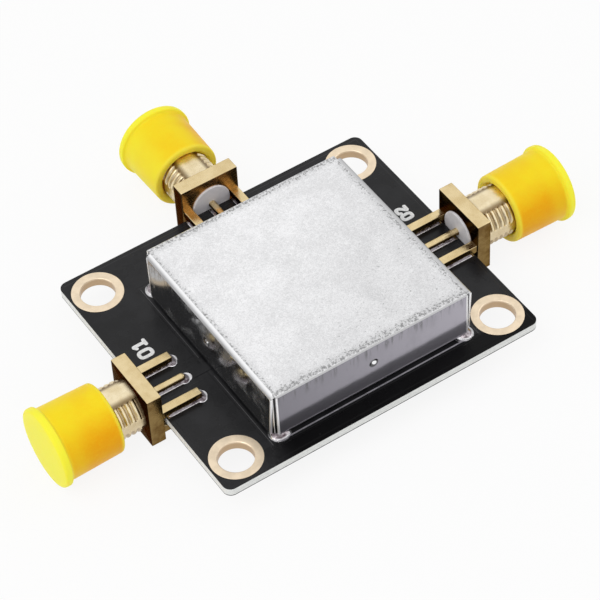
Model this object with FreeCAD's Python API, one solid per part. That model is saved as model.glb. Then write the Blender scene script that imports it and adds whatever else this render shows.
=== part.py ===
import FreeCAD, Part
import os

os.makedirs("parts", exist_ok=True)

# Frame: +X runs from the left socket to the right one, +Y towards the third socket.
# The origin is the centre of the mounting hole pattern, on the underside of the board.
V = FreeCAD.Vector
Z_AXIS = V(0, 0, 1)

# Circuit board
board_length = 41.6
board_width = 36.3
board_thickness = 1.1
board_corner_radius = 1.0

# Copper, and the plating on it, standing on the laminate and lining the holes
copper_thickness = 0.05

# Mounting holes: finished diameter inside the plating
hole_diameter = 4.1
hole_ring_diameter = 6.1
hole_pitch_x = 35.0
hole_pitch_y = 29.3

# Coaxial sockets: place along the board edge, and how far each cap stands off the edge
left_socket_y = -2.0
right_socket_y = -2.0
back_socket_x = 0.4
left_cap_standoff = 5.5
right_cap_standoff = 6.1
back_cap_standoff = 5.8

# Socket flange and its four legs
flange_edge_gap = 0.4
flange_thickness = 1.8
flange_width = 7.7
flange_height = 7.5
flange_edge_break = 0.12
leg_side = 1.05
leg_spacing = 6.3
leg_reach = 4.7
leg_tip_break = 0.12
leg_root_depth = 0.4

# Socket barrel with its 1/4-36 thread: four flats, and smooth bands along them between the
# threaded sectors, wide above and below and narrower at the sides
barrel_length = 8.0
thread_diameter = 6.35
thread_root_diameter = 5.75
thread_pitch = 0.7056
thread_crest_width = 0.16
thread_root_width = 0.10
thread_start_relief = 0.45
thread_end_chamfer = 0.35
thread_tip_drop = 0.1
thread_flat_distance = 3.04
thread_upright_band_width = 3.2
thread_side_band_width = 1.25
thread_band_drop = 0.06
barrel_mouth_diameter = 4.6
barrel_mouth_depth = 0.5

# Insulator of the socket: shank in the barrel, disc towards the board
insulator_diameter = 4.1
insulator_disc_diameter = 5.0
insulator_disc_thickness = 0.9
insulator_disc_proud = 0.2
insulator_recess = 0.1

# Centre contact: slotted sleeve inside the barrel, solid pin on the board
contact_diameter = 1.27
contact_bore_diameter = 0.94
contact_bore_depth = 3.2
contact_recess = 0.25
contact_slot_width = 0.16
contact_slot_depth = 2.2
contact_mouth_chamfer = 0.1
contact_shoulder_offset = 1.4
contact_drill_point = 0.3
pin_diameter = 0.9

# Dust cap: a tapered sleeve with a wider rim at its closed end
cap_length = 8.0
cap_mouth_diameter = 8.5
cap_heel_diameter = 8.8
cap_rim_diameter = 9.6
cap_rim_thickness = 1.1
cap_end_wall = 1.2
cap_mouth_round = 0.5
cap_rim_round = 0.3
cap_relief_diameter = 6.9
cap_grip_length = 4.0
cap_mouth_flare = 0.3
cap_relief_slope = 0.3

# Solder pads under the legs and the pin
pad_side_margin = 0.22
pad_end_margin = 0.8
pad_edge_setback = 0.15
fillet_height = 0.35
fillet_foot = 0.2
fillet_crest = 0.03
tip_fillet_foot = 0.55
pin_fillet_height = 0.3
pin_fillet_foot = 0.15
pin_fillet_inner = 0.2

# Shield can: lid over frame
shield_centre_x = 0.4
shield_centre_y = -1.8
lid_length = 26.5
lid_width = 26.5
lid_top_height = 6.8
lid_skirt_gap = 0.35
sheet_thickness = 0.25
lid_bend_radius = 0.4
lid_notch_along_front = 0.5
lid_notch_along_side = 0.35
lid_frame_clearance = 0.03
frame_bend_radius = 0.35
frame_rim_width = 1.2
frame_rim_corner_radius = 1.0
frame_web_width = 2.4
frame_arch_width = 3.0
frame_arch_height = 0.8
dimple_radius = 0.8
dimple_depth = 0.22
dimple_wall = 0.2
dimple_height = 3.8
snap_hole_diameter = 1.12
snap_clearance = 0.05
frame_tab_width = 1.0
frame_tab_from_corner = 0.72
frame_tab_below_board = 0.45
frame_tab_root = 0.5

# Plated land under the frame, with a plated hole at each corner for the frame tabs
land_margin_x = 0.5
land_margin_y = 0.6
land_inner_margin = 0.5
land_break_width = 3.2
land_ring_clearance = 0.25
land_pad_clearance = 0.25
eyelet_drill_diameter = 1.6
eyelet_ring_diameter = 2.4
corner_joint_height = 0.55
corner_joint_ring_inset = 0.12
corner_joint_top_ratio = 0.45
corner_joint_under_height = 0.3

# Mixer package inside the shield
mixer_centre_x = 0.4
mixer_centre_y = -2.0
mixer_length = 5.6
mixer_width = 7.9
mixer_base_height = 1.0
mixer_base_standoff = 0.15
mixer_cover_height = 2.0
mixer_cover_inset = 0.1
mixer_cover_wall = 0.4
mixer_cover_round = 0.5
mixer_lead_pitch = 2.54
mixer_lead_width = 0.6
mixer_lead_thickness = 0.2
mixer_lead_foot = 1.0
mixer_lead_knee = 0.45
mixer_lead_embed = 0.8
mixer_lead_exit_height = 0.6
mixer_pad_length = 1.8
mixer_pad_width = 1.2
mixer_pad_toe = 0.3

# Tracks from the socket pads to the mixer
track_width = 1.9
track_bend_clearance = 1.4
track_bend_width = 1.2

# How far a cutting body reaches past the surface it cuts, and a joined one into its neighbour
overcut = 1.0
join_overlap = 0.5

# Values that follow from the ones above
top = board_thickness
copper_top = top + copper_thickness
copper_bottom = -copper_thickness
axis_height = copper_top + pin_diameter / 2
flange_face = flange_edge_gap + flange_thickness
barrel_end = flange_face + barrel_length
half_length = board_length / 2
half_width = board_width / 2
insulator_face = flange_edge_gap - insulator_disc_proud
disc_back = insulator_face + insulator_disc_thickness
insulator_end = barrel_end - insulator_recess
contact_end = barrel_end - contact_recess
contact_shoulder = disc_back + contact_shoulder_offset
lid_top = top + lid_top_height
lid_bottom = copper_top + lid_skirt_gap
frame_length = lid_length - 2 * (sheet_thickness + lid_frame_clearance)
frame_width = lid_width - 2 * (sheet_thickness + lid_frame_clearance)
frame_top = lid_top - sheet_thickness
frame_bottom = copper_top


def box(x0, x1, y0, y1, z0, z1):
    return Part.makeBox(x1 - x0, y1 - y0, z1 - z0, V(x0, y0, z0))


def cylinder(radius, x, y, z0, z1):
    return Part.makeCylinder(radius, z1 - z0, V(x, y, z0), Z_AXIS)


def turned(points):
    """A solid of revolution about local X from (x, radius) points."""
    wire = Part.makePolygon([V(x, 0, r) for x, r in points + points[:1]])
    return Part.Face(wire).revolve(V(0, 0, 0), V(1, 0, 0), 360)


def upright_edges(shape):
    found = []
    for edge in shape.Edges:
        a = edge.Vertexes[0].Point
        b = edge.Vertexes[-1].Point
        if abs(a.x - b.x) < 1e-6 and abs(a.y - b.y) < 1e-6 and abs(a.z - b.z) > 1e-6:
            found.append(edge)
    return found


def rounded_box(x0, x1, y0, y1, z0, z1, radius):
    plain = box(x0, x1, y0, y1, z0, z1)
    return plain.makeFillet(radius, upright_edges(plain))


def top_edges(shape, z):
    found = []
    for edge in shape.Edges:
        if all(abs(v.Point.z - z) < 1e-6 for v in edge.Vertexes):
            found.append(edge)
    return found


def folded_box(x0, x1, y0, y1, z0, z1, radius):
    """A box rounded along its upright edges and round its top face."""
    plain = box(x0, x1, y0, y1, z0, z1)
    return plain.makeFillet(radius, upright_edges(plain) + top_edges(plain, z1))


def save(shape, name):
    shape.exportStep("parts/" + name + ".step")


def joined(shapes):
    result = shapes[0]
    for shape in shapes[1:]:
        result = result.fuse(shape)
    return result.removeSplitter()


hole_places = {}
for y_name, y_sign in (("front", -1), ("back", 1)):
    for x_name, x_sign in (("left", -1), ("right", 1)):
        place = (x_sign * hole_pitch_x / 2, y_sign * hole_pitch_y / 2)
        hole_places[y_name + "_" + x_name] = place

# The frame tabs continue the front and back walls next to the corners, through the plated holes
tab_centre_x = frame_length / 2 - frame_tab_from_corner
tab_centre_y = frame_width / 2 - sheet_thickness / 2
eyelet_places = []
for sx in (-1, 1):
    for sy in (-1, 1):
        x = shield_centre_x + sx * tab_centre_x
        y = shield_centre_y + sy * tab_centre_y
        eyelet_places.append((x, y))

# Circuit board
board = rounded_box(-half_length, half_length, -half_width, half_width, 0, top, board_corner_radius)
drill_radius = hole_diameter / 2 + copper_thickness
for x, y in hole_places.values():
    board = board.cut(cylinder(drill_radius, x, y, -overcut, top + overcut))
for x, y in eyelet_places:
    board = board.cut(cylinder(eyelet_drill_diameter / 2, x, y, -overcut, top + overcut))
save(board, "board")

# Plating of the four mounting holes: a lining with a ring on each face of the board
for name, (x, y) in hole_places.items():
    lining = cylinder(drill_radius, x, y, copper_bottom, copper_top)
    upper_ring = cylinder(hole_ring_diameter / 2, x, y, top, copper_top)
    lower_ring = cylinder(hole_ring_diameter / 2, x, y, copper_bottom, 0)
    plating = lining.fuse(upper_ring).fuse(lower_ring)
    plating = plating.cut(cylinder(hole_diameter / 2, x, y, -overcut, top + overcut))
    save(plating.removeSplitter(), "hole_plating_" + name)

# Plated land under the shield frame, open where the three tracks pass
cx = shield_centre_x
cy = shield_centre_y
land_half_x = lid_length / 2 + land_margin_x
land_half_y = lid_width / 2 + land_margin_y
land_in_x = frame_length / 2 - sheet_thickness - land_inner_margin
land_in_y = frame_width / 2 - sheet_thickness - land_inner_margin
land = box(cx - land_half_x, cx + land_half_x, cy - land_half_y, cy + land_half_y, top, copper_top)
above = top + overcut
land = land.cut(box(cx - land_in_x, cx + land_in_x, cy - land_in_y, cy + land_in_y, 0, above))
half_break = land_break_width / 2
land = land.cut(box(cx - land_half_x - overcut, cx - land_in_x + overcut,
                    left_socket_y - half_break, left_socket_y + half_break, 0, above))
land = land.cut(box(cx + land_in_x - overcut, cx + land_half_x + overcut,
                    right_socket_y - half_break, right_socket_y + half_break, 0, above))
land = land.cut(box(back_socket_x - half_break, back_socket_x + half_break,
                    cy + land_in_y - overcut, cy + land_half_y + overcut, 0, above))
eyelet_radius = eyelet_drill_diameter / 2
for x, y in eyelet_places:
    land = land.fuse(cylinder(eyelet_ring_diameter / 2, x, y, top, copper_top))
    land = land.fuse(cylinder(eyelet_ring_diameter / 2, x, y, copper_bottom, 0))
    land = land.fuse(cylinder(eyelet_radius, x, y, copper_bottom, copper_top))
for x, y in eyelet_places:
    land = land.cut(cylinder(eyelet_radius - copper_thickness, x, y, -overcut, above))
kept_clear = hole_ring_diameter / 2 + land_ring_clearance
for x, y in hole_places.values():
    land = land.cut(cylinder(kept_clear, x, y, -overcut, above))

# Shield frame: four walls with an inward rim, a web across, arches over the tracks and corner tabs
fx = frame_length / 2
fy = frame_width / 2
outer = folded_box(cx - fx, cx + fx, cy - fy, cy + fy, frame_bottom, frame_top, frame_bend_radius)
inner_radius = frame_bend_radius - sheet_thickness
inner = folded_box(cx - fx + sheet_thickness, cx + fx - sheet_thickness, cy - fy + sheet_thickness,
                   cy + fy - sheet_thickness, frame_bottom - overcut, frame_top - sheet_thickness,
                   inner_radius)
opening = rounded_box(cx - fx + frame_rim_width, cx + fx - frame_rim_width, cy - fy + frame_rim_width,
                      cy + fy - frame_rim_width, frame_top - overcut, frame_top + overcut,
                      frame_rim_corner_radius)
opening = opening.cut(box(cx - frame_web_width / 2, cx + frame_web_width / 2, cy - fy, cy + fy,
                          frame_top - 2 * overcut, frame_top + 2 * overcut))
frame = outer.cut(inner).cut(opening)
half_arch = frame_arch_width / 2
arch_top = frame_bottom + frame_arch_height
below = frame_bottom - overcut
frame = frame.cut(box(cx - fx - overcut, cx - fx + overcut,
                      left_socket_y - half_arch, left_socket_y + half_arch, below, arch_top))
frame = frame.cut(box(cx + fx - overcut, cx + fx + overcut,
                      right_socket_y - half_arch, right_socket_y + half_arch, below, arch_top))
frame = frame.cut(box(back_socket_x - half_arch, back_socket_x + half_arch,
                      cy + fy - overcut, cy + fy + overcut, below, arch_top))
tab_bottom = -frame_tab_below_board
tab_top = frame_bottom + frame_tab_root
half_tab = frame_tab_width / 2
half_sheet = sheet_thickness / 2
for x, y in eyelet_places:
    tab = box(x - half_tab, x + half_tab, y - half_sheet, y + half_sheet, tab_bottom, tab_top)
    frame = frame.fuse(tab)

# Round snap holes in the frame walls, for the dimples of the lid
dimple_z = top + dimple_height
snap_radius = snap_hole_diameter / 2
snap_length_x = 2 * fx + 2 * overcut
snap_length_y = 2 * fy + 2 * overcut
snap_x = Part.makeCylinder(snap_radius, snap_length_x, V(cx - fx - overcut, cy, dimple_z), V(1, 0, 0))
snap_y = Part.makeCylinder(snap_radius, snap_length_y, V(cx, cy - fy - overcut, dimple_z), V(0, 1, 0))
frame = frame.cut(snap_x).cut(snap_y).removeSplitter()
save(frame, "shield_frame")

# Shield lid: a folded cover, bent along its top edges and notched at its corners
lx = lid_length / 2
ly = lid_width / 2
lid_outer = box(cx - lx, cx + lx, cy - ly, cy + ly, lid_bottom, lid_top)
lid_outer = lid_outer.makeFillet(lid_bend_radius, top_edges(lid_outer, lid_top))
inside_x = lx - sheet_thickness
inside_y = ly - sheet_thickness
inside_top = lid_top - sheet_thickness
lid_inner = box(cx - inside_x, cx + inside_x, cy - inside_y, cy + inside_y, lid_bottom - overcut,
                inside_top)
lid_inner = lid_inner.makeFillet(lid_bend_radius - sheet_thickness, top_edges(lid_inner, inside_top))
lid = lid_outer.cut(lid_inner)
for sx in (-1, 1):
    for sy in (-1, 1):
        x_out = cx + sx * (lx + overcut)
        x_in = cx + sx * (lx - lid_notch_along_front)
        y_out = cy + sy * (ly + overcut)
        y_in = cy + sy * (ly - lid_notch_along_side)
        lid = lid.cut(box(min(x_out, x_in), max(x_out, x_in), min(y_out, y_in), max(y_out, y_in),
                          lid_bottom - overcut, lid_top + overcut))

# Each dimple is a shallow spherical dent pressed into a wall, its back a matching bump
sphere_radius = (dimple_radius ** 2 + dimple_depth ** 2) / (2 * dimple_depth)
for dx, dy in ((-1, 0), (1, 0), (0, -1), (0, 1)):
    wall = V(cx + dx * lx, cy + dy * ly, dimple_z)
    out = V(dx, dy, 0)
    dent = Part.makeSphere(sphere_radius, wall + out * (sphere_radius - dimple_depth))
    bump = Part.makeSphere(sphere_radius, wall + out * (sphere_radius - dimple_depth - dimple_wall))
    room = Part.makeCylinder(snap_radius - snap_clearance, sheet_thickness * 2, wall, out * -1)
    lid = lid.fuse(bump.common(room)).cut(dent)
save(lid.removeSplitter(), "shield_lid")

# Solder at the four corner tabs: a low mound in and around each plated hole
joints = []
for x, y in eyelet_places:
    plug = cylinder(eyelet_radius - copper_thickness, x, y, copper_bottom, copper_top)
    ring = eyelet_ring_diameter / 2 - corner_joint_ring_inset
    tip = ring * corner_joint_top_ratio
    below = corner_joint_under_height
    upper = Part.makeCone(ring, tip, corner_joint_height, V(x, y, copper_top), Z_AXIS)
    lower = Part.makeCone(tip, ring, below, V(x, y, copper_bottom - below), Z_AXIS)
    joints.append(joined([plug, upper, lower]))
corner_joints = joints[0]
for joint in joints[1:]:
    corner_joints = corner_joints.fuse(joint)
corner_joints = corner_joints.cut(frame).cut(lid)
save(corner_joints, "shield_solder")


def put(shape, side):
    """Move a shape built with local X pointing out of the board edge to its socket place."""
    moved = shape.copy()
    if side == "left":
        moved.rotate(V(0, 0, 0), Z_AXIS, 180)
        moved.translate(V(-half_length, left_socket_y, 0))
    elif side == "right":
        moved.translate(V(half_length, right_socket_y, 0))
    else:
        moved.rotate(V(0, 0, 0), Z_AXIS, 90)
        moved.translate(V(back_socket_x, half_width, 0))
    return moved


def thread_profile():
    """Points (x, radius) of the barrel outside, from the flange to the open end."""
    crest = thread_diameter / 2
    root = thread_root_diameter / 2
    flank = (thread_pitch - thread_crest_width - thread_root_width) / 2
    points = []
    x = flange_face + thread_start_relief
    points.append((flange_face, root))
    points.append((x, root))
    last = barrel_end - thread_end_chamfer - thread_pitch
    while x < last:
        points.append((x + flank, crest))
        points.append((x + flank + thread_crest_width, crest))
        points.append((x + 2 * flank + thread_crest_width, root))
        x = x + thread_pitch
        points.append((x, root))
    points.append((barrel_end - thread_end_chamfer, root))
    points.append((barrel_end - thread_end_chamfer, crest - thread_tip_drop))
    points.append((barrel_end, root))
    return points


def at_axis(shape):
    moved = shape.copy()
    moved.translate(V(0, 0, axis_height))
    return moved


# Socket body: flange, legs and threaded barrel in one piece
mouth_radius = barrel_mouth_diameter / 2
shank_radius = insulator_diameter / 2
disc_radius = insulator_disc_diameter / 2
outside = thread_profile()
barrel_root = flange_face - join_overlap
core = outside + [(barrel_end, 0), (barrel_root, 0), (barrel_root, outside[0][1])]
barrel = turned(core)
past_end = barrel_end + overcut
inside_flange = flange_face - overcut
flats = box(inside_flange, past_end, -thread_flat_distance, thread_flat_distance,
            -thread_flat_distance, thread_flat_distance)
smooth = Part.makeCylinder(thread_diameter / 2 - thread_band_drop, barrel_length - thread_end_chamfer,
                           V(flange_face, 0, 0), V(1, 0, 0))
half_upright = thread_upright_band_width / 2
half_side = thread_side_band_width / 2
clear = thread_diameter / 2 + overcut
band_top = box(inside_flange, past_end, -half_upright, half_upright, -clear, clear)
band_side = box(inside_flange, past_end, -clear, clear, -half_side, half_side)
lands = smooth.common(band_top.fuse(band_side)).common(flats)
in_flange = box(inside_flange, flange_face, -clear, clear, -clear, clear)
barrel = barrel.fuse(lands).common(flats.fuse(in_flange))
flange = box(flange_edge_gap, flange_face, -flange_width / 2, flange_width / 2,
             -flange_height / 2, flange_height / 2)
flange = flange.makeChamfer(flange_edge_break, flange.Edges)
before_flange = flange_edge_gap - overcut
bore = turned([(before_flange, 0), (before_flange, disc_radius), (disc_back, disc_radius),
               (disc_back, shank_radius), (barrel_end - barrel_mouth_depth, shank_radius),
               (barrel_end - barrel_mouth_depth, mouth_radius), (past_end, mouth_radius),
               (past_end, 0)])
body = at_axis(flange.fuse(barrel).cut(bore))
leg_inner = leg_spacing / 2 - leg_side / 2
leg_outer = leg_spacing / 2 + leg_side / 2
for sign in (-1, 1):
    for z0 in (copper_top, copper_bottom - leg_side):
        y0 = min(sign * leg_inner, sign * leg_outer)
        y1 = max(sign * leg_inner, sign * leg_outer)
        leg = box(-leg_reach, flange_edge_gap + leg_root_depth, y0, y1, z0, z0 + leg_side)
        tip = [e for e in leg.Edges if all(abs(v.Point.x + leg_reach) < 1e-6 for v in e.Vertexes)]
        leg = leg.makeChamfer(leg_tip_break, tip)
        body = body.fuse(leg)
body = body.removeSplitter()

# Insulator: disc against the board side, shank up to the mouth of the barrel
contact_radius = contact_diameter / 2
pin_radius = pin_diameter / 2
insulator = at_axis(turned([
    (insulator_face, pin_radius), (insulator_face, disc_radius), (disc_back, disc_radius),
    (disc_back, shank_radius), (insulator_end, shank_radius), (insulator_end, contact_radius),
    (contact_shoulder, contact_radius), (contact_shoulder, pin_radius)]))

# Contact: sleeve with four fingers, solid pin with a rounded end over the board
bore_bottom = contact_end - contact_bore_depth
bore_radius = contact_bore_diameter / 2
contact = turned([
    (-leg_reach + pin_radius, 0), (-leg_reach + pin_radius, pin_radius), (contact_shoulder, pin_radius),
    (contact_shoulder, contact_radius), (contact_end - contact_mouth_chamfer, contact_radius),
    (contact_end, contact_radius - contact_mouth_chamfer), (contact_end, bore_radius),
    (bore_bottom, bore_radius), (bore_bottom - contact_drill_point, 0)])
contact = contact.fuse(Part.makeSphere(pin_radius, V(-leg_reach + pin_radius, 0, 0)))
slot = box(contact_end - contact_slot_depth, contact_end + overcut, -contact_diameter, contact_diameter,
           -contact_slot_width / 2, contact_slot_width / 2)
slot_across = slot.copy()
slot_across.rotate(V(0, 0, 0), V(1, 0, 0), 90)
contact = at_axis(contact.cut(slot).cut(slot_across).removeSplitter())

# Dust cap: it grips the crests of the thread over a short length next to its mouth
grip_radius = thread_diameter / 2
relief_radius = cap_relief_diameter / 2
heel = cap_length - cap_rim_thickness
cap_outer = turned([
    (0, 0), (0, cap_mouth_diameter / 2), (heel, cap_heel_diameter / 2),
    (heel, cap_rim_diameter / 2), (cap_length, cap_rim_diameter / 2), (cap_length, 0)])
mouth_ring = []
for edge in cap_outer.Edges:
    box_of_edge = edge.BoundBox
    if box_of_edge.XLength < 1e-6 and box_of_edge.YLength > cap_mouth_diameter / 2:
        if abs(box_of_edge.XMin) < 1e-6:
            mouth_ring.append(edge)
cap_outer = cap_outer.makeFillet(cap_mouth_round, mouth_ring)
rim_rings = []
for edge in cap_outer.Edges:
    box_of_edge = edge.BoundBox
    if box_of_edge.XLength < 1e-6 and box_of_edge.YLength > cap_rim_diameter - 0.01:
        rim_rings.append(edge)
cap_outer = cap_outer.makeFillet(cap_rim_round, rim_rings)
cap_inner_end = cap_length - cap_end_wall
cap_bore = turned([
    (-overcut, 0), (-overcut, grip_radius + cap_mouth_flare + overcut), (0, grip_radius + cap_mouth_flare),
    (cap_mouth_flare, grip_radius), (cap_grip_length, grip_radius),
    (cap_grip_length + cap_relief_slope, relief_radius), (cap_inner_end, relief_radius), (cap_inner_end, 0)])
cap = at_axis(cap_outer.cut(cap_bore))

# Pads: two long lands for the legs and one for the pin on top, two lands underneath
pad_half = leg_side / 2 + pad_side_margin
pin_pad_half = pin_radius + pad_side_margin
pad_end = -leg_reach - pad_end_margin


def pad(y, half, z0, z1):
    strip = box(pad_end + half, -pad_edge_setback, y - half, y + half, z0, z1)
    return strip.fuse(cylinder(half, pad_end + half, y, z0, z1)).removeSplitter()


pads = pad(0, pin_pad_half, top, copper_top)
for sign in (-1, 1):
    pads = pads.fuse(pad(sign * leg_spacing / 2, pad_half, top, copper_top))
    pads = pads.fuse(pad(sign * leg_spacing / 2, pad_half, copper_bottom, 0))


def rectangle(x0, x1, y0, y1, z):
    return Part.makePolygon([V(x0, y0, z), V(x1, y0, z), V(x1, y1, z), V(x0, y1, z), V(x0, y0, z)])


def leg_mound(y_mid, z_face, up):
    """Solder around the sides and the end of one leg, sloping down to its land."""
    half = leg_side / 2
    heel_x = -2 * pad_edge_setback
    foot = rectangle(-leg_reach - tip_fillet_foot, heel_x, y_mid - half - fillet_foot,
                     y_mid + half + fillet_foot, z_face)
    crest = rectangle(-leg_reach - fillet_crest, heel_x, y_mid - half - fillet_crest,
                      y_mid + half + fillet_crest, z_face + up * fillet_height)
    mound = Part.makeLoft([foot, crest], True, True)
    leg_z = min(z_face, z_face + up * leg_side)
    return mound.cut(box(-leg_reach, overcut, y_mid - half, y_mid + half, leg_z, leg_z + leg_side))


solder_parts = []
for sign in (-1, 1):
    solder_parts.append(leg_mound(sign * leg_spacing / 2, copper_top, 1))
    solder_parts.append(leg_mound(sign * leg_spacing / 2, copper_bottom, -1))
for sign in (-1, 1):
    inner_edge = sign * pin_fillet_inner
    outer_edge = sign * (pin_radius + pin_fillet_foot)
    bead = box(-leg_reach + pin_radius, -2 * pad_edge_setback, min(inner_edge, outer_edge),
               max(inner_edge, outer_edge), copper_top, copper_top + pin_fillet_height)
    solder_parts.append(bead.cut(contact))
solder = solder_parts[0]
for piece in solder_parts[1:]:
    solder = solder.fuse(piece)

cap_standoffs = {"left": left_cap_standoff, "right": right_cap_standoff, "back": back_cap_standoff}
for side, standoff in cap_standoffs.items():
    save(put(body, side), "socket_body_" + side)
    save(put(insulator, side), "insulator_" + side)
    save(put(contact, side), "contact_" + side)
    own_cap = cap.copy()
    own_cap.translate(V(standoff, 0, 0))
    save(put(own_cap, side), "cap_" + side)
    save(put(pads, side), "pads_" + side)
    save(put(solder, side), "solder_" + side)

# The shield's land stops short of the pads of each socket
kept_half = leg_spacing / 2 + pad_half + land_pad_clearance
kept_area = box(pad_end - land_pad_clearance, 0, -kept_half, kept_half, 0, above)
for side in cap_standoffs:
    land = land.cut(put(kept_area, side))
save(land.removeSplitter(), "shield_land")

# Mixer package: a header carrying six bent leads, with a cover
mx = mixer_length / 2
my = mixer_width / 2
base_bottom = copper_top + mixer_base_standoff
base_top = base_bottom + mixer_base_height
base = box(mixer_centre_x - mx, mixer_centre_x + mx, mixer_centre_y - my, mixer_centre_y + my,
           base_bottom, base_top)
rows = (-mixer_lead_pitch, 0, mixer_lead_pitch)
half_lead = mixer_lead_width / 2
exit_low = base_bottom + mixer_lead_exit_height - mixer_lead_thickness
exit_high = base_bottom + mixer_lead_exit_height
leads = None
for sx in (-1, 1):
    for row in rows:
        y = mixer_centre_y + row
        knee = mx + mixer_lead_knee
        root = mx - mixer_lead_embed
        toe = knee + mixer_lead_foot
        t = mixer_lead_thickness
        profile = [(root, exit_low), (knee - t, exit_low), (knee - t, copper_top), (toe, copper_top),
                   (toe, copper_top + t), (knee, copper_top + t), (knee, exit_high), (root, exit_high)]
        points = [V(mixer_centre_x + sx * px, y - half_lead, pz) for px, pz in profile]
        lead = Part.Face(Part.makePolygon(points + points[:1])).extrude(V(0, mixer_lead_width, 0))
        leads = lead if leads is None else leads.fuse(lead)
save(base.cut(leads), "mixer_base")
save(leads, "mixer_leads")
inset = mixer_cover_inset
cover = rounded_box(mixer_centre_x - mx + inset, mixer_centre_x + mx - inset, mixer_centre_y - my + inset,
                    mixer_centre_y + my - inset, base_top, base_top + mixer_cover_height, mixer_cover_round)
wall = inset + mixer_cover_wall
hollow = box(mixer_centre_x - mx + wall, mixer_centre_x + mx - wall, mixer_centre_y - my + wall,
             mixer_centre_y + my - wall, base_top - overcut,
             base_top + mixer_cover_height - mixer_cover_wall)
save(cover.cut(hollow), "mixer_cover")

# Lands under the mixer leads
pad_out = mx + mixer_lead_knee + mixer_lead_foot + mixer_pad_toe
pad_in = pad_out - mixer_pad_length
lands = None
for sx in (-1, 1):
    for row in rows:
        y = mixer_centre_y + row
        x0 = mixer_centre_x + min(sx * pad_in, sx * pad_out)
        x1 = mixer_centre_x + max(sx * pad_in, sx * pad_out)
        land_piece = box(x0, x1, y - mixer_pad_width / 2, y + mixer_pad_width / 2, top, copper_top)
        lands = land_piece if lands is None else lands.fuse(land_piece)
save(lands, "mixer_lands")

# Tracks: straight from the left and right sockets, and round a bend from the back one
half_track = track_width / 2
left_from = -half_length - pad_end
right_from = half_length + pad_end
back_from = half_width + pad_end
left_track = box(left_from, mixer_centre_x - pad_out, left_socket_y - mixer_pad_width / 2,
                 left_socket_y + mixer_pad_width / 2, top, copper_top)
right_track = box(mixer_centre_x + pad_out, right_from, right_socket_y - mixer_pad_width / 2,
                  right_socket_y + mixer_pad_width / 2, top, copper_top)
bend_y = mixer_centre_y + mixer_width / 2 + track_bend_clearance + track_bend_width
bend_x = mixer_centre_x + pad_out - mixer_pad_length / 2
down = box(back_socket_x - half_track, back_socket_x + half_track, bend_y, back_from, top, copper_top)
across = box(back_socket_x - half_track, bend_x + half_lead, bend_y - track_bend_width, bend_y,
             top, copper_top)
drop = box(bend_x - half_lead, bend_x + half_lead, mixer_centre_y + mixer_lead_pitch + mixer_pad_width / 2,
           bend_y, top, copper_top)
back_track = joined([down, across, drop])
tracks = left_track.fuse(right_track).fuse(back_track)
save(tracks, "signal_tracks")
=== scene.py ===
import collections
import math

import bmesh
import bpy
import numpy as np
from mathutils import Matrix, Vector


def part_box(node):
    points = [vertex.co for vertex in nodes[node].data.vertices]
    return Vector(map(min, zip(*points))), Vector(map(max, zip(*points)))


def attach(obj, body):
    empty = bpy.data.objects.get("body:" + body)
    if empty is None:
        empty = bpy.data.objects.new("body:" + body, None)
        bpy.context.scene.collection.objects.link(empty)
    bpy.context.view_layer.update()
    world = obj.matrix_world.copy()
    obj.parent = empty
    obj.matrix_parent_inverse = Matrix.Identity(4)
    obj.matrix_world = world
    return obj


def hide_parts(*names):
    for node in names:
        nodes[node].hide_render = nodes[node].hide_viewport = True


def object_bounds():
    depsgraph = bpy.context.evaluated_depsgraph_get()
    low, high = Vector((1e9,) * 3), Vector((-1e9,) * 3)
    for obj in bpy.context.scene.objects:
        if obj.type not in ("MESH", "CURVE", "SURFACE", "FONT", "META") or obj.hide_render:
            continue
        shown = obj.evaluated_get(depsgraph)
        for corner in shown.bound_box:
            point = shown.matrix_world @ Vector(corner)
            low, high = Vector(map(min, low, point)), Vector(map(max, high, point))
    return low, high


bl_info = {
    "name": "RF Mixer Module",
    "version": (1, 0, 0),
    "blender": (4, 5, 0),
    "location": "3D View > Sidebar > Mixer Module",
    "description": "Detailed pieces, finishes and stage for a shielded mixer board with three capped sockets",
    "category": "Object",
}

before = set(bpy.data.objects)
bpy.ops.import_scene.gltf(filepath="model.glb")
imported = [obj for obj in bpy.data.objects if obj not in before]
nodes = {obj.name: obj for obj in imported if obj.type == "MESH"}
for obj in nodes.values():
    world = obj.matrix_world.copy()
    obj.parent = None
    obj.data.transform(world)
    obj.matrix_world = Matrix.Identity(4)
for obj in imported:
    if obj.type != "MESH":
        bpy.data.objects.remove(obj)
cad_low, cad_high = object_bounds()

MM = 0.001
BODY = "root"
SIDES = ("left", "right", "back")

Point = collections.namedtuple("Point", "x y z")


class Extent:
    """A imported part's box in millimetres: both its corners, its middle and its half sizes."""

    def __init__(self, node):
        spans = [(low / MM, high / MM) for low, high in zip(*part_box(node))]
        self.low = Point(*[low for low, high in spans])
        self.high = Point(*[high for low, high in spans])
        self.middle = Point(*[(low + high) / 2 for low, high in spans])
        self.half = Point(*[(high - low) / 2 for low, high in spans])


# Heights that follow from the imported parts, in millimetres
BOARD_TOP = Extent("board").high.z
COPPER_TOP = Extent("pads_left").high.z
COPPER_BOTTOM = Extent("pads_left").low.z

# Sizes that no box tells, in millimetres. Places on a socket count outwards from the board's edge
HOLE_RADIUS = 2.05
PLATING = 0.055
LINING = 0.10
SOLDER_REACH = 1.08
FLANGE_FRONT = 0.4
FLANGE_BACK = 2.2
FLANGE_HOLE = 2.5
BORE_RADIUS = 2.05
BARREL_END = 10.2
LEG_HALF = 0.525
LEG_OFFSET = 3.15
LEG_TIP = -4.7
SOLDER_HEEL = -0.3

# Points along a solder skirt and up it
SKIRT_STEPS = 110
SKIRT_RISE = 14

# The point the camera looks at, in millimetres
VIEW_CENTRE = (0.65, 0.16, 1.1)


# Settings


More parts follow.
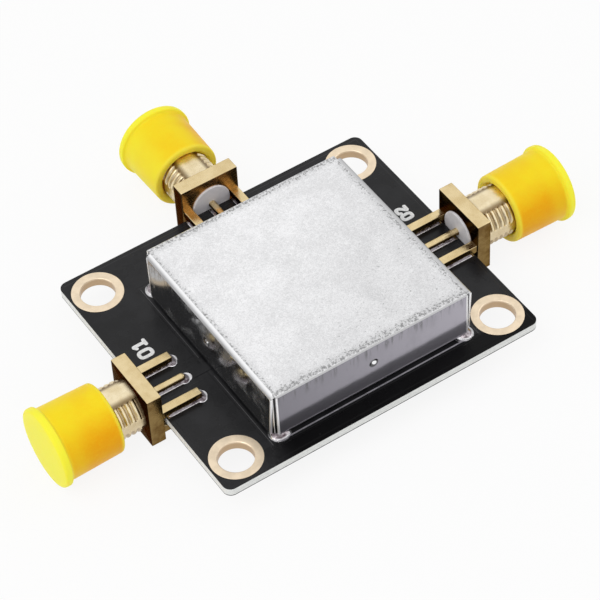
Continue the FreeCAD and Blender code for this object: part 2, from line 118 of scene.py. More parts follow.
def length(name, description, default):
    """A length in the sidebar, given here in millimetres."""
    return bpy.props.FloatProperty(
        name=name, description=description, default=default * MM, min=0.0, unit="LENGTH", precision=5)


def length_pair(name, description, default):
    """Two lengths in the sidebar, given here in millimetres."""
    return bpy.props.FloatVectorProperty(
        name=name, description=description, default=[value * MM for value in default], size=2, unit="LENGTH",
        precision=5)


def colour(name, description, default):
    """A colour in the sidebar."""
    return bpy.props.FloatVectorProperty(
        name=name, description=description, default=default, size=3, min=0.0, max=1.0, subtype="COLOR")


class BoardSettings(bpy.types.PropertyGroup):
    mask_colour: colour("Solder mask", "Colour of the lacquer on both faces", (0.0085, 0.0085, 0.0094))
    laminate_colour: colour("Laminate", "Colour of the cut edge", (0.86, 0.87, 0.85))
    plating_colour: colour("Hole plating", "Colour of the mounting hole rings", (0.89, 0.74, 0.55))
    ink_colour: colour("Ink", "Colour of the printed numbers", (0.95, 0.95, 0.95))
    ring_edge: length("Ring edge", "Rounding of the plating at the hole", 0.14)
    stroke_width: length("Stroke width", "Width of the printed strokes", 0.45)
    ink_height: length("Ink height", "Height of the printed strokes", 0.025)


class ShieldSettings(bpy.types.PropertyGroup):
    steel_colour: colour("Tinned steel", "Colour of the shield", (0.80, 0.80, 0.81))
    sheet: length("Sheet", "Thickness of the sheet", 0.25)
    bend: length("Bend", "Outer radius of the folded edges", 0.4)
    side_slit_front: length_pair("Side walls, front end", "Gap to the front corner above and at the foot",
                                 (0.14, 0.58))
    side_slit_back: length_pair("Side walls, back end", "Gap to the back corner above and at the foot",
                                (0.90, 1.10))
    front_slit: length_pair("Front and back walls", "Gap to both corners above and at the foot", (0.60, 0.62))
    dimple_radius: length("Dimple radius", "Radius of the snap dimples", 0.6)
    dimple_depth: length("Dimple depth", "Depth of the snap dimples", 0.24)
    dimple_height: length("Dimple height", "Height of the dimples over the board", 3.8)
    dent: length("Dents", "Depth of the slight dents in the top", 0.03)
    splay: length("Splay", "How far the walls stand out at their foot", 0.08)


class SocketSettings(bpy.types.PropertyGroup):
    gold_colour: colour("Gold plating", "Colour of the socket bodies, facing up", (0.80, 0.65, 0.38))
    # The colour of the upright faces is painted shade of the gold
    painted_shade_gold: colour("Gold on the sides", "Colour of their upright faces", (0.26, 0.178, 0.075))
    insulator_colour: colour("Insulator", "Colour of the insulator", (0.93, 0.91, 0.94))
    barrel_colour: colour("Gold on the thread", "Colour of the threaded barrels", (0.90, 0.78, 0.54))
    solder_colour: colour("Solder", "Colour of the solder", (0.90, 0.89, 0.91))
    thread_pitch: length("Thread pitch", "Distance between threads", 0.7056)
    thread_radius: length("Thread radius", "Radius of the thread crests", 3.175)
    root_radius: length("Root radius", "Radius of the thread roots", 2.97)
    flat_distance: length("Flat distance", "Distance of the four flats from the axis", 3.04)
    upright_band: length("Upright band", "Width of the smooth bands above and below", 3.2)
    side_band: length("Side band", "Width of the smooth bands at the sides", 1.25)
    edge: length("Edge", "Rounding of the flange edges", 0.10)


class CapSettings(bpy.types.PropertyGroup):
    body_colour: colour("Body", "Colour of the cap", (1.0, 0.72, 0.016))
    rim_colour: colour("Rim", "Colour of the rim at the closed end", (1.0, 0.90, 0.055))
    lip_colour: colour("Lip", "Colour of the thin lip at the open end", (1.0, 0.76, 0.06))
    cap_length: length("Length", "Length of a cap", 7.999)
    mouth_radius: length("Mouth radius", "Outer radius at the mouth", 4.25)
    heel_radius: length("Heel radius", "Outer radius next to the rim", 4.4)
    rim_radius: length("Rim radius", "Radius of the rim", 4.799)
    rim_thickness: length("Rim thickness", "Thickness of the rim", 1.1)
    crown: length("Crown", "Doming of the closed end", 0.22)


class StageSettings(bpy.types.PropertyGroup):
    floor_colour: colour("Floor", "Colour of the floor", (0.86, 0.86, 0.86))
    floor_white: bpy.props.FloatProperty(
        name="Floor white", description="Share of plain white in the floor that the camera sees",
        default=0.88, min=0.0, max=1.0)
    lamp_power: bpy.props.FloatProperty(
        name="Lamp power", description="Power of the main lamp in watts", default=0.80, min=0.0)
    world_light: bpy.props.FloatProperty(
        name="Room light", description="Strength of the light from all round", default=0.70, min=0.0)
    azimuth: bpy.props.FloatProperty(
        name="Azimuth", description="Direction of the camera round the part",
        default=math.radians(-30.96), subtype="ANGLE")
    elevation: bpy.props.FloatProperty(
        name="Elevation", description="Height of the camera over the floor",
        default=math.radians(48.54), subtype="ANGLE")
    roll: bpy.props.FloatProperty(
        name="Roll", description="Tilt of the camera", default=math.radians(-3.56), subtype="ANGLE")
    distance: length("Distance", "Distance of the camera from its target", 303.6)
    lens: bpy.props.FloatProperty(name="Lens", description="Focal length in millimetres", default=160.56)


def in_mm(value):
    """A setting, which is kept in metres, as millimetres."""
    return value / MM


def scaled(shade, *shares):
    """A colour whose parts are multiplied by one share, or by a share each, and end at 1."""
    shares = shares * 3 if len(shares) == 1 else shares
    return [min(1.0, part * share) for part, share in zip(shade, shares)]


# Surfaces


def grid_quads(rows, columns, close_rows=False, close_columns=False):
    """Quads between neighbours on a grid: (r, c), (r, c + 1), (r + 1, c + 1), (r + 1, c)."""
    row = np.arange(rows if close_rows else rows - 1)
    column = np.arange(columns if close_columns else columns - 1)
    r, c = np.meshgrid(row, column, indexing="ij")
    below = (r + 1) % rows
    beside = (c + 1) % columns
    corners = [r * columns + c, r * columns + beside, below * columns + beside, below * columns + c]
    return np.stack(corners, -1).reshape(-1, 4)


def surface(points, close_rows=False, close_columns=False):
    """A grid of points (rows, columns, 3) and the quads between them."""
    rows, columns = points.shape[:2]
    return points.reshape(-1, 3), grid_quads(rows, columns, close_rows, close_columns)


def softened(corners, radius, steps=4, closed=False):
    """A line with curved corners: (1 - t)^2 before + 2 t (1 - t) corner + t^2 after.

    Before and after lie the radius from the corner, or half way to its neighbour if that is less."""
    corners = np.asarray(corners, float)
    towards_last = np.roll(corners, 1, 0) - corners
    towards_next = np.roll(corners, -1, 0) - corners
    last_length = np.maximum(np.linalg.norm(towards_last, axis=1), 1e-9)
    next_length = np.maximum(np.linalg.norm(towards_next, axis=1), 1e-9)
    size = np.minimum(np.broadcast_to(radius, len(corners)), 0.5 * np.minimum(last_length, next_length))
    before = corners + towards_last * (size / last_length)[:, None]
    after = corners + towards_next * (size / next_length)[:, None]
    t = np.linspace(0, 1, steps + 1)[None, :, None]
    curve = (1 - t) ** 2 * before[:, None] + 2 * t * (1 - t) * corners[:, None] + t ** 2 * after[:, None]
    if closed:
        return curve.reshape(-1, corners.shape[1])
    middle = curve[1:-1].reshape(-1, corners.shape[1])
    return np.concatenate([corners[:1], middle, corners[-1:]])


def resampled(line, distances):
    """Points of a line at the given distances from its start, straight between its own points."""
    steps = np.linalg.norm(np.diff(line, axis=0), axis=1)
    reach = np.concatenate([[0], np.cumsum(steps)])
    return np.stack([np.interp(distances, reach, line[:, k]) for k in range(line.shape[1])], -1)


def line_length(line):
    """The sum of the distances between neighbouring points."""
    return float(np.linalg.norm(np.diff(line, axis=0), axis=1).sum())


def turned(profile, steps):
    """A profile of (along, radius) carried round the axis: (along, radius cos a, radius sin a)."""
    angle = np.linspace(0, 2 * np.pi, steps, endpoint=False)
    along = np.repeat(profile[:, :1], steps, 1)
    return np.stack([along, profile[:, 1:] * np.cos(angle), profile[:, 1:] * np.sin(angle)], -1)


def eased(value, low, high):
    """3 s^2 - 2 s^3 of the share s of the way from low to high."""
    share = np.clip((value - low) / (high - low), 0, 1)
    return share * share * (3 - 2 * share)


def spaced(low, high, step, centre, reach, fine_step):
    """Places from low to high a step apart, and closer together within reach of the centre."""
    coarse = np.linspace(low, high, int(round((high - low) / step)) + 1)
    fine = np.linspace(centre - reach, centre + reach, int(round(2 * reach / fine_step)) + 1)
    return np.sort(np.concatenate([coarse[np.abs(coarse - centre) > reach + 0.4 * fine_step], fine]))


class Place:
    """An origin and three directions: out of the board, across, and up."""

    def __init__(self, origin, out, across, up=(0, 0, 1)):
        self.origin = np.array(origin, float)
        self.axes = np.array([out, across, up], float)

    def put(self, points):
        """Origin + out * u + across * v + up * w, for local points (u, v, w)."""
        return self.origin + points @ self.axes


def socket_place(side):
    """The point of the board's edge where a socket's axis passes over it, at the height of the axis."""
    middle = Extent("insulator_" + side).middle
    board = Extent("board")
    if side == "left":
        return Place((board.low.x, middle.y, middle.z), (-1, 0, 0), (0, -1, 0))
    if side == "right":
        return Place((board.high.x, middle.y, middle.z), (1, 0, 0), (0, 1, 0))
    return Place((middle.x, board.high.y, middle.z), (0, 1, 0), (-1, 0, 0))


def add_piece(name, shapes, material, stands_for=(), sharp=38.0, marks=None):
    """Makes one mesh of closed surfaces given in millimetres, merged and facing outwards.

    The marks are names with one number for each point, which the finish reads."""
    points = np.concatenate([shape[0] for shape in shapes])
    first = np.cumsum([0] + [len(shape[0]) for shape in shapes[:-1]])
    quads = np.concatenate([shape[1] + start for shape, start in zip(shapes, first)])
    mesh = bpy.data.meshes.new(name)
    mesh.from_pydata((points * MM).tolist(), [], quads.tolist())
    for mark, values in (marks or {}).items():
        attribute = mesh.attributes.new(mark, "FLOAT", "POINT")
        attribute.data.foreach_set("value", np.concatenate([np.ravel(v) for v in values]).astype(np.float32))
    work = bmesh.new()
    work.from_mesh(mesh)
    bmesh.ops.remove_doubles(work, verts=work.verts, dist=0.0004 * MM)
    bmesh.ops.recalc_face_normals(work, faces=work.faces)
    work.to_mesh(mesh)
    work.free()
    piece = bpy.data.objects.new(name, mesh)
    bpy.context.scene.collection.objects.link(piece)
    mesh.materials.append(material)
    smooth(mesh, sharp)
    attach(piece, BODY)
    if stands_for:
        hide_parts(*stands_for)
    return piece


def smooth(mesh, sharp):
    """Shades a mesh smooth, apart from edges that turn by more than sharp degrees."""
    mesh.shade_smooth()
    mesh.set_sharp_from_angle(angle=math.radians(sharp))


def settle(piece, sharp):
    """Replaces a piece's mesh by the result of its modifiers."""
    graph = bpy.context.evaluated_depsgraph_get()
    mesh = bpy.data.meshes.new_from_object(piece.evaluated_get(graph))
    piece.modifiers.clear()
    piece.data = mesh
    smooth(mesh, sharp)


# Shader maths


class Value:
    """A number that varies over a surface. The signs of arithmetic add Math nodes."""

    def __init__(self, shader, socket):
        self.shader = shader
        self.socket = socket

    def math(self, operation, first, second=None):
        sockets = {0: first}
        if second is not None:
            sockets[1] = second
        node = self.shader.add("ShaderNodeMath", {"operation": operation}, sockets)
        return Value(self.shader, node.outputs[0])

    def __add__(self, other):
        return self.math("ADD", self, other)

    def __sub__(self, other):
        return self.math("SUBTRACT", self, other)

    def __rsub__(self, other):
        return self.math("SUBTRACT", other, self)

    def __mul__(self, other):
        return self.math("MULTIPLY", self, other)

    def __truediv__(self, other):
        return self.math("DIVIDE", self, other)

    def __abs__(self):
        return self.math("ABSOLUTE", self)

    def larger(self, other):
        return self.math("MAXIMUM", self, other)

    __radd__ = __add__
    __rmul__ = __mul__


class Nodes:
    """The nodes of a material or a world, laid anew."""

    def __init__(self, owner):
        owner.use_nodes = True
        self.tree = owner.node_tree
        self.tree.nodes.clear()

    def add(self, kind, settings=None, sockets=None):
        """Adds a node: its settings first, then a value or a link for each of its sockets."""
        node = self.tree.nodes.new(kind)
        for key, value in (settings or {}).items():
            setattr(node, key, value)
        for key, value in (sockets or {}).items():
            target = node.inputs[key]
            if isinstance(value, Value):
                self.tree.links.new(value.socket, target)
            elif isinstance(value, bpy.types.NodeSocket):
                self.tree.links.new(value, target)
            else:
                target.default_value = value
        return node


class Shader(Nodes):
    """A finish. Positions are in millimetres of the part's own frame."""

    def __init__(self, name):
        self.material = bpy.data.materials.new(name)
        super().__init__(self.material)

    def place(self, stretch=(1, 1, 1)):
        """The point in millimetres, each axis multiplied by its stretch."""
        coordinates = self.add("ShaderNodeTexCoord").outputs["Object"]
        scale = tuple(s / MM for s in stretch)
        node = self.add("ShaderNodeVectorMath", {"operation": "MULTIPLY"}, {0: coordinates, 1: scale})
        return node.outputs[0]

    def axes(self):
        """The place of a point along the three axes."""
        node = self.add("ShaderNodeSeparateXYZ", None, {0: self.place()})
        return [Value(self, node.outputs[k]) for k in range(3)]

    def facing(self):
        """The parts of the surface's own direction along the three axes."""
        coordinates = self.add("ShaderNodeTexCoord").outputs["Normal"]
        node = self.add("ShaderNodeSeparateXYZ", None, {0: coordinates})
        return [Value(self, node.outputs[k]) for k in range(3)]

    def noise(self, scale, detail=2.0, rough=0.5, stretch=(1, 1, 1), distortion=0.0):
        """Soft noise from 0 to 1 with about scale features in a millimetre."""
        node = self.add("ShaderNodeTexNoise", None, {
            "Vector": self.place(stretch), "Scale": scale, "Detail": detail,
            "Roughness": rough, "Distortion": distortion})
        return Value(self, node.outputs[0])

    def cells(self, scale, stretch=(1, 1, 1)):
        """Distance from the nearest of many scattered points, scale to a millimetre."""
        node = self.add("ShaderNodeTexVoronoi", None, {"Vector": self.place(stretch), "Scale": scale})
        return Value(self, node.outputs[0])

    def eased(self, value, low, high, start=0.0, end=1.0):
        """Goes smoothly from start to end as value goes from low to high."""
        node = self.add("ShaderNodeMapRange", {"interpolation_type": "SMOOTHSTEP"},
                        {0: value, 1: low, 2: high, 3: start, 4: end})
        return Value(self, node.outputs[0])

    def length_of(self, first, second):
        """The root of first^2 + second^2."""
        node = self.add("ShaderNodeMath", {"operation": "SQRT"}, {0: first * first + second * second})
        return Value(self, node.outputs[0])

    def mixed(self, share, first, second):
        """The first colour where share is 0, and the second where it is 1."""
        node = self.add("ShaderNodeMix", {"data_type": "RGBA"}, {
            0: share, 6: self.solid(first), 7: self.solid(second)})
        return node.outputs[2]

    def solid(self, shade):
        """A colour with its fourth number, or a link as it is."""
        if isinstance(shade, bpy.types.NodeSocket):
            return shade
        return (*shade, 1.0)

    def bump(self, height, depth, strength=1.0, under=None):
        """A normal for a height from 0 to 1 that stands for depth millimetres."""
        sockets = {"Height": height, "Distance": depth * MM, "Strength": strength}
        if under is not None:
            sockets["Normal"] = under
        return self.add("ShaderNodeBump", None, sockets).outputs[0]

    def attribute(self, name):
        """A mark of the piece, see add_piece."""
        return Value(self, self.add("ShaderNodeAttribute", {"attribute_name": name}).outputs["Fac"])

    def finish(self, **sockets):
        """The Principled shader with its sockets, joined to the material's output."""
        named = {key.replace("_", " "): value for key, value in sockets.items()}
        if "Base Color" in named:
            named["Base Color"] = self.solid(named["Base Color"])
        shader = self.add("ShaderNodeBsdfPrincipled", None, named)
        self.add("ShaderNodeOutputMaterial", None, {0: shader.outputs[0]})
        return self.material


# Finishes


def box_distance(x, y, centre, half):
    """Distance outside a rectangle, below nought inside it."""
    return (abs(x - centre[0]) - half[0]).larger(abs(y - centre[1]) - half[1])


def lacquer(shader, x, y, colours):
    """Black lacquer: its colour, its roughness and its gloss. Along the front, beside the shield, it is
    painted darker as painted shade and has no gloss.
    """
    cloud = shader.noise(0.35, 3.0, 0.55)
    black = colours.mask_colour
    shade = shader.mixed(shader.eased(cloud, 0.3, 0.75), black, scaled(black, 1.9))
    # Painted shade: a dark band along the board's front, beside the shield
    painted_shade_strip = shader.eased(y, -15.2, -16.2) * shader.eased(x, -15.5, -11.0)
    return (shader.mixed(painted_shade_strip, shade, scaled(black, 0.15)),
            shader.eased(cloud, 0.25, 0.8, 0.24, 0.34), 0.25 - painted_shade_strip * 0.25)


def solder_mask(colours):
    """Black lacquer over copper, open laminate on the cut edges."""
    shader = Shader("black_solder_mask")
    x, y, z = shader.axes()
    edge = shader.eased(z, BOARD_TOP - 0.06, BOARD_TOP - 0.03, 1.0, 0.0) * shader.eased(z, 0.10, 0.14)
    layers = shader.noise(5.0, 3.0, 0.6, (0.25, 0.25, 2.4))
    fibre = shader.noise(11.0, 2.0, 0.6)
    laminate = shader.mixed(shader.eased(layers * 0.6 + fibre * 0.4, 0.36, 0.66),
                            scaled(colours.laminate_colour, 0.82), scaled(colours.laminate_colour, 1.10))
    mask, rough, gloss = lacquer(shader, x, y, colours)
    dust = shader.eased(shader.cells(1.1), 0.035, 0.05, 1.0, 0.0) * shader.eased(shader.noise(0.5), 0.5, 0.6)
    mask = shader.mixed(dust * 0.35, mask, (0.22, 0.22, 0.22))

    # The copper under the lacquer stands clear of the three tracks and of the board's outline
    board = Extent("board")
    land = Extent("shield_land")
    outline = box_distance(x, y, (0, 0), (board.high.x - 0.55, board.high.y - 0.55))
    around = abs(box_distance(x, y, land.middle, land.half) - 0.16)
    relief = shader.eased(outline, -0.06, 0.06, 1.0, 0.0) * shader.eased(around, 0.08, 0.16)
    for side in SIDES:
        pin = Extent("contact_" + side)
        wide = (1.05, pin.half.y + 1.3) if side == "back" else (pin.half.x + 1.3, 1.05)
        relief = relief * shader.eased(abs(box_distance(x, y, pin.middle, wide)), 0.12, 0.22)
    ripple = shader.noise(1.6, 2.0, 0.5)
    grain = shader.noise(14.0, 2.0, 0.6)
    normal = shader.bump(relief, 0.035, 0.9)
    normal = shader.bump(ripple, 0.03, 0.55, normal)
    normal = shader.bump(grain, 0.006, 0.5, normal)
    return shader.finish(
        Base_Color=shader.mixed(edge, mask, laminate),
        Roughness=rough + edge * 0.3,
        Specular_IOR_Level=0.12,
        Coat_Weight=gloss * (1 - edge),
        Coat_Roughness=0.2,
        Normal=normal)


def ink(colours):
    """White epoxy ink with a slightly uneven coat."""
    shader = Shader("white_ink")
    patch = shader.noise(6.0, 3.0, 0.6)
    return shader.finish(
        Base_Color=shader.mixed(shader.eased(patch, 0.25, 0.7), scaled(colours.ink_colour, 0.78),
                                colours.ink_colour),
        Roughness=0.55,
        Normal=shader.bump(shader.noise(12.0, 2.0, 0.6), 0.012, 0.7))


def hole_plating(colours):
    """Pale gold plating over copper, satin, with the faint ripple of plated board. Inside the hole it is
    painted darker as painted shade.
    """
    shader = Shader("pale_gold_plating")
    patch = shader.noise(0.9, 3.0, 0.55)
    grain = shader.noise(9.0, 2.0, 0.55)
    wall = shader.eased(shader.axes()[2], BOARD_TOP - 0.25, BOARD_TOP + 0.02, 1.0, 0.0)
    gold = colours.plating_colour
    face = shader.mixed(shader.eased(patch, 0.3, 0.72), gold, scaled(gold, 0.86))
    # Painted shade: the wall inside the hole is darker than the rings
    inside = scaled(gold, 0.56, 0.48, 0.40)
    normal = shader.bump(shader.noise(1.3, 2.0, 0.5), 0.03, 0.5)
    return shader.finish(
        Base_Color=shader.mixed(wall, face, inside),
        Metallic=1.0,
        Roughness=shader.eased(patch, 0.2, 0.8, 0.26, 0.40) + grain * 0.06,
        Normal=shader.bump(grain, 0.006, 0.8, normal))


def tinned_steel(colours, name, tone=1.0):
    """Tin plate, with soft patches, fine grain and specks on top and streaks drawn down the walls.

    The top is lighter towards the back left and darker towards the front right corner, as painted light
    and shade, and its specks grow dense towards the bends. The front and back walls are hazy, the side
    walls mirror-like with dull blotches, and all walls are painted darker than the top as painted shade,
    the front and back ones more so to the left. The bends carry a painted highlight to the left and
    painted shade elsewhere, and the cut edges at the upright corners a painted highlight. Round each
    dimple a dark ring is painted shade, with a painted highlight in the middle. The last bump makes a
    wall shine as if its foot stood out a little further. A tone below 1 is the frame in the lid's shade,
    with a painted highlight along its own corners."""
    shader = Shader(name)
    lid = Extent("shield_lid")
    top = lid.high.z

    # Where a point lies: across and deep from the lid's centre, on its walls, its bends or its top
    x, y, z = shader.axes()
    across = x - lid.middle.x
    deep = y - lid.middle.y
    from_x = abs(across) - lid.half.x
    from_y = abs(deep) - lid.half.y
    edge = from_x.larger(from_y)
    wall = shader.eased(z, top - 0.34, top - 0.24, 1.0, 0.0)
    side = shader.eased(from_x - from_y, -0.04, 0.04)
    bend = shader.eased(edge + side * 0.42, -0.22, -0.10) * (1 - wall)
    near = shader.eased(edge, -1.6, -0.5) * (1 - bend)
    # The cut edges carry a painted highlight: on the frame along its own corners, on the lid at the upright
    # corners past the slits
    if tone < 1:
        cut = shader.eased(abs(from_x - from_y), 0.12, 0.04) * wall
    else:
        share = (top - z) / (top - lid.low.z)
        back = shader.eased(deep, -1.0, 1.0)
        gaps = [share * in_mm(slit[1] - slit[0]) + in_mm(slit[0])
                for slit in (colours.front_slit, colours.side_slit_front, colours.side_slit_back)]
        cut_x = shader.eased(from_x + gaps[0], -0.24, -0.14) * (1 - side)
        cut_y = shader.eased(from_y + gaps[1] + (gaps[2] - gaps[1]) * back, -0.24, -0.14) * side
        cut = (cut_x + cut_y) * wall

    # Patches, specks, streaks and blotches
    cloud = shader.noise(0.20, 3.0, 0.60, distortion=0.6)
    patch = shader.noise(3.3, 4.0, 0.74, distortion=1.6)
    grain = shader.noise(6.5, 3.0, 0.66)
    speckle = shader.noise(3.6, 4.0, 0.78)
    # Lighter towards the back left and darker towards the front right: painted light and shade. The same
    # share thickens the specks and grain there
    wear_and_painted_shade = shader.eased(across * 0.6 - deep * 0.8, -5.0, 10.0)
    ease = near * 0.20 + wear_and_painted_shade * (1 - near) * 0.06
    speck = shader.eased(speckle, 0.67 - ease, 0.75 - ease) * (1 - wall) * (1 - bend)
    streak = shader.eased(shader.noise(2.6, 3.0, 0.6, (1.0, 1.0, 0.10)), 0.47, 0.66)
    drawn = shader.eased(z, top - 2.4, top - 0.5) * wall * streak
    blotch = shader.eased(shader.noise(0.34, 3.0, 0.60, distortion=0.5), 0.50, 0.74) * side * wall

    # The dimples: a dark ring of painted shade round each, with a painted highlight in its middle
    sideways = deep * side + across * (1 - side)
    level = z - (BOARD_TOP + in_mm(colours.dimple_height))
    radius = shader.length_of(sideways, level)
    ring = shader.eased(radius, 0.64, 0.50) * wall
    painted_dimple_highlight = shader.eased(shader.length_of(sideways - 0.14, level + 0.12), 0.31, 0.21) * wall

    # The top and the bends. The bends carry a painted highlight to the left, and painted shade to the right,
    # near the corners and along the side walls
    base = scaled(colours.steel_colour, tone)
    painted_highlight = scaled(colours.steel_colour, 1.15)
    blend = shader.eased(cloud * 0.25 + patch * 0.75, 0.37, 0.63)
    tin = shader.mixed(blend, scaled(base, 0.82), scaled(base, 1.18))
    for share, strength in (((1 - wear_and_painted_shade) * 0.22, 1.12), (wear_and_painted_shade * 0.30, 0.76),
                            (shader.eased(grain, 0.45, 0.8) * (wear_and_painted_shade * 0.25 + 0.18), 0.66),
                            (near * 0.30, 0.60), (speck * 0.75, 0.22)):
        tin = shader.mixed(share, tin, scaled(base, strength))
    painted_bend_highlight = shader.mixed(shader.eased(across, -1.0, 1.0), painted_highlight, scaled(base, 0.70))
    lit_bend = shader.mixed(shader.eased(from_x, -0.05, -0.45), scaled(base, 0.50), painted_bend_highlight)
    tin = shader.mixed(bend, tin, shader.mixed(side, scaled(base, 0.66), lit_bend))

    # The walls, painted darker than the top as painted shade: the front and back walls darker to the left,
    # the side walls dark throughout
    painted_shade_front_back = shader.mixed((across + 16.0) / 32.0, scaled(base, 0.25, 0.24, 0.27),
                         scaled(base, 0.54, 0.515, 0.57))
    haze = shader.eased(shader.noise(0.5, 3.0, 0.6, (1.0, 1.0, 0.5)), 0.46, 0.70)
    painted_shade_front_back = shader.mixed(haze * 0.22, painted_shade_front_back, scaled(base, 0.26, 0.25, 0.28))
    upright = shader.mixed(side, painted_shade_front_back, scaled(base, 0.50))
    for share, strength in ((blotch * 0.7, 0.30), (drawn * 0.75, 0.16), (ring * 0.9, 0.10)):
        upright = shader.mixed(share, upright, scaled(base, strength))
    upright = shader.mixed(painted_dimple_highlight, upright, painted_highlight)
    tin = shader.mixed(wall, tin, upright)
    tin = shader.mixed(cut, tin, painted_highlight)

    rough = shader.eased(patch, 0.25, 0.8, 0.30, 0.44) * (1 - wall) + wall * 0.13 + blotch * 0.2 + cut * 0.25
    fine = shader.bump((patch - 0.5) * (1 - wall) * (1 - bend) + 0.5, 0.05, 0.6)
    fine = shader.bump((grain - 0.5) * (1 - wall * 0.85) + 0.5, 0.010, 0.6, fine)
    fine = shader.bump(shader.noise(0.22, 2.0, 0.5), 0.08, 0.5, fine)
    normal = shader.bump((top - z) * wall, 0.12, 1.0, fine)
    return shader.finish(
        Base_Color=tin,
        Metallic=1 - (wall * (1 - side) * (1 - ring) + blotch * 0.8) * 0.30,
        Roughness=rough + drawn * 0.15 + grain * 0.03,
        Normal=normal)


def gold_plate(colours):
    """Thin gold over machined brass, with cutter marks and faint handling marks, and with light and shade
    painted by the way a face turns: pale where it faces up, painted shade on the upright faces, darkest on
    those that face left, and an orange painted reflection on the back socket's front, where it mirrors
    itself."""
    shader = Shader("gold_plate")
    cloud = shader.noise(0.6, 3.0, 0.6)
    marks = shader.noise(7.0, 3.0, 0.65, (0.22, 0.22, 1.9))
    pits = shader.eased(shader.noise(8.0, 3.0, 0.7), 0.62, 0.76)
    x_part, y_part, z_part = shader.facing()
    # Light and shade painted by facing: pale gold facing up, painted shade on the upright faces
    facing_up = shader.eased(z_part, 0.40, 0.68)
    top = colours.gold_colour
    side = colours.painted_shade_gold
    pale = shader.mixed(shader.eased(cloud, 0.28, 0.74), top, scaled(top, 0.84, 0.80, 0.72))
    painted_shade_sides = shader.mixed(shader.eased(cloud, 0.30, 0.70), side, scaled(side, 0.55, 0.48, 0.46))
    # Painted shade, deepest on the faces that look left
    painted_shade_sides = shader.mixed(shader.eased(x_part, -0.62, -0.90) * 0.9, painted_shade_sides, scaled(side, 0.14, 0.18, 0.36))
    # Painted reflection: the back socket's front faces, where it mirrors itself, turn a lighter orange
    board_back = Extent("board").high.y
    near_back = shader.eased(shader.axes()[1], board_back - 3.0, board_back - 1.0)
    painted_self_reflection = shader.eased(y_part, -0.50, -0.85) * near_back
    painted_shade_sides = shader.mixed(painted_self_reflection * shader.eased(cloud, 0.25, 0.60), painted_shade_sides, scaled(side, 2.5, 2.0, 1.7))
    gold = shader.mixed(facing_up, painted_shade_sides, pale)
    gold = shader.mixed(pits * facing_up * 0.45, gold, scaled(top, 0.50, 0.44, 0.36))
    normal = shader.bump(marks, 0.014, 0.7)
    normal = shader.bump(cloud, 0.05, 0.35, normal)
    return shader.finish(
        Base_Color=gold,
        Metallic=1.0,
        Specular_Tint=(0.40, 0.33, 0.26, 1.0),
        Roughness=shader.eased(marks, 0.2, 0.8, 0.17, 0.32),
        Normal=normal)


def barrel_gold(colours):
    """Pale gold on the threaded barrels, with painted shade: darker where a smooth band falls away towards
    the thread and next to the flange (the mark seam), in the roots (the mark groove) and under the barrel."""
    shader = Shader("barrel_gold")
    cloud = shader.noise(0.7, 3.0, 0.6)
    grain = shader.noise(9.0, 3.0, 0.6)
    pale = colours.barrel_colour
    # Painted shade under the barrel
    under = shader.eased(shader.facing()[2], 0.30, -0.40)
    gold = shader.mixed(shader.eased(cloud, 0.3, 0.72), pale, scaled(pale, 0.84, 0.80, 0.72))
    gold = shader.mixed(shader.attribute("painted_root_shade") * 0.60, gold, scaled(pale, 0.34, 0.26, 0.18))
    gold = shader.mixed(shader.attribute("painted_seam_shade") * 0.92, gold, scaled(pale, 0.22, 0.17, 0.12))
    gold = shader.mixed(under * 0.85, gold, scaled(pale, 0.42, 0.36, 0.30))
    return shader.finish(
        Base_Color=gold,
        Metallic=1.0,
        Roughness=shader.eased(grain, 0.2, 0.8, 0.24, 0.38),
        Normal=shader.bump(grain, 0.008, 0.7))


def insulator_plastic(colours):
    """Milky fluoropolymer with a fine grain."""
    shader = Shader("milky_insulator")
    cloud = shader.noise(0.9, 2.0, 0.5)
    return shader.finish(
        Base_Color=shader.mixed(shader.eased(cloud, 0.3, 0.7), colours.insulator_colour,
                                scaled(colours.insulator_colour, 0.90)),
        Roughness=shader.eased(cloud, 0.2, 0.8, 0.38, 0.5),
        Subsurface_Weight=0.25,
        Subsurface_Radius=(1.0, 1.0, 1.0),
        Subsurface_Scale=0.6 * MM,
        Normal=shader.bump(shader.noise(9.0, 2.0, 0.5), 0.008, 0.6))


def solder_metal(colours):
    """Solder, with a painted highlight where it thins out at its rim and painted shade in the hollow next to
    a leg, with frozen ripples and flux-dulled spots. The mark rim is 1 at the outer edge."""
    shader = Shader("bright_solder")
    ripple = shader.noise(2.6, 3.0, 0.55, distortion=0.4)
    # Painted highlight along the rim, painted shade in the hollow
    rim = shader.eased(shader.attribute("rim"), 0.76, 0.95) * shader.eased(ripple, 0.30, 0.58, 0.35, 1.0)
    dull = shader.eased(shader.noise(1.7, 3.0, 0.6), 0.46, 0.68)
    base = colours.solder_colour
    hollow = shader.mixed(dull, scaled(base, 0.32, 0.29, 0.30), scaled(base, 0.11, 0.08, 0.09))
    return shader.finish(
        Base_Color=shader.mixed(rim, hollow, base),
        Metallic=1.0,
        Roughness=dull * 0.20 + 0.13,
        Normal=shader.bump(ripple, 0.07, 0.7))


def tinned_copper(colours):
    """Solder-coated copper land: pale, thinly levelled, slightly wavy."""
    shader = Shader("tinned_copper")
    wave = shader.noise(1.2, 2.0, 0.5, distortion=0.3)
    grain = shader.noise(10.0, 2.0, 0.6)
    base = colours.solder_colour
    return shader.finish(
        Base_Color=shader.mixed(shader.eased(wave, 0.35, 0.7), base, scaled(base, 0.74)),
        Metallic=1.0,
        Roughness=shader.eased(grain, 0.2, 0.8, 0.20, 0.34),
        Normal=shader.bump(wave, 0.05, 0.6))


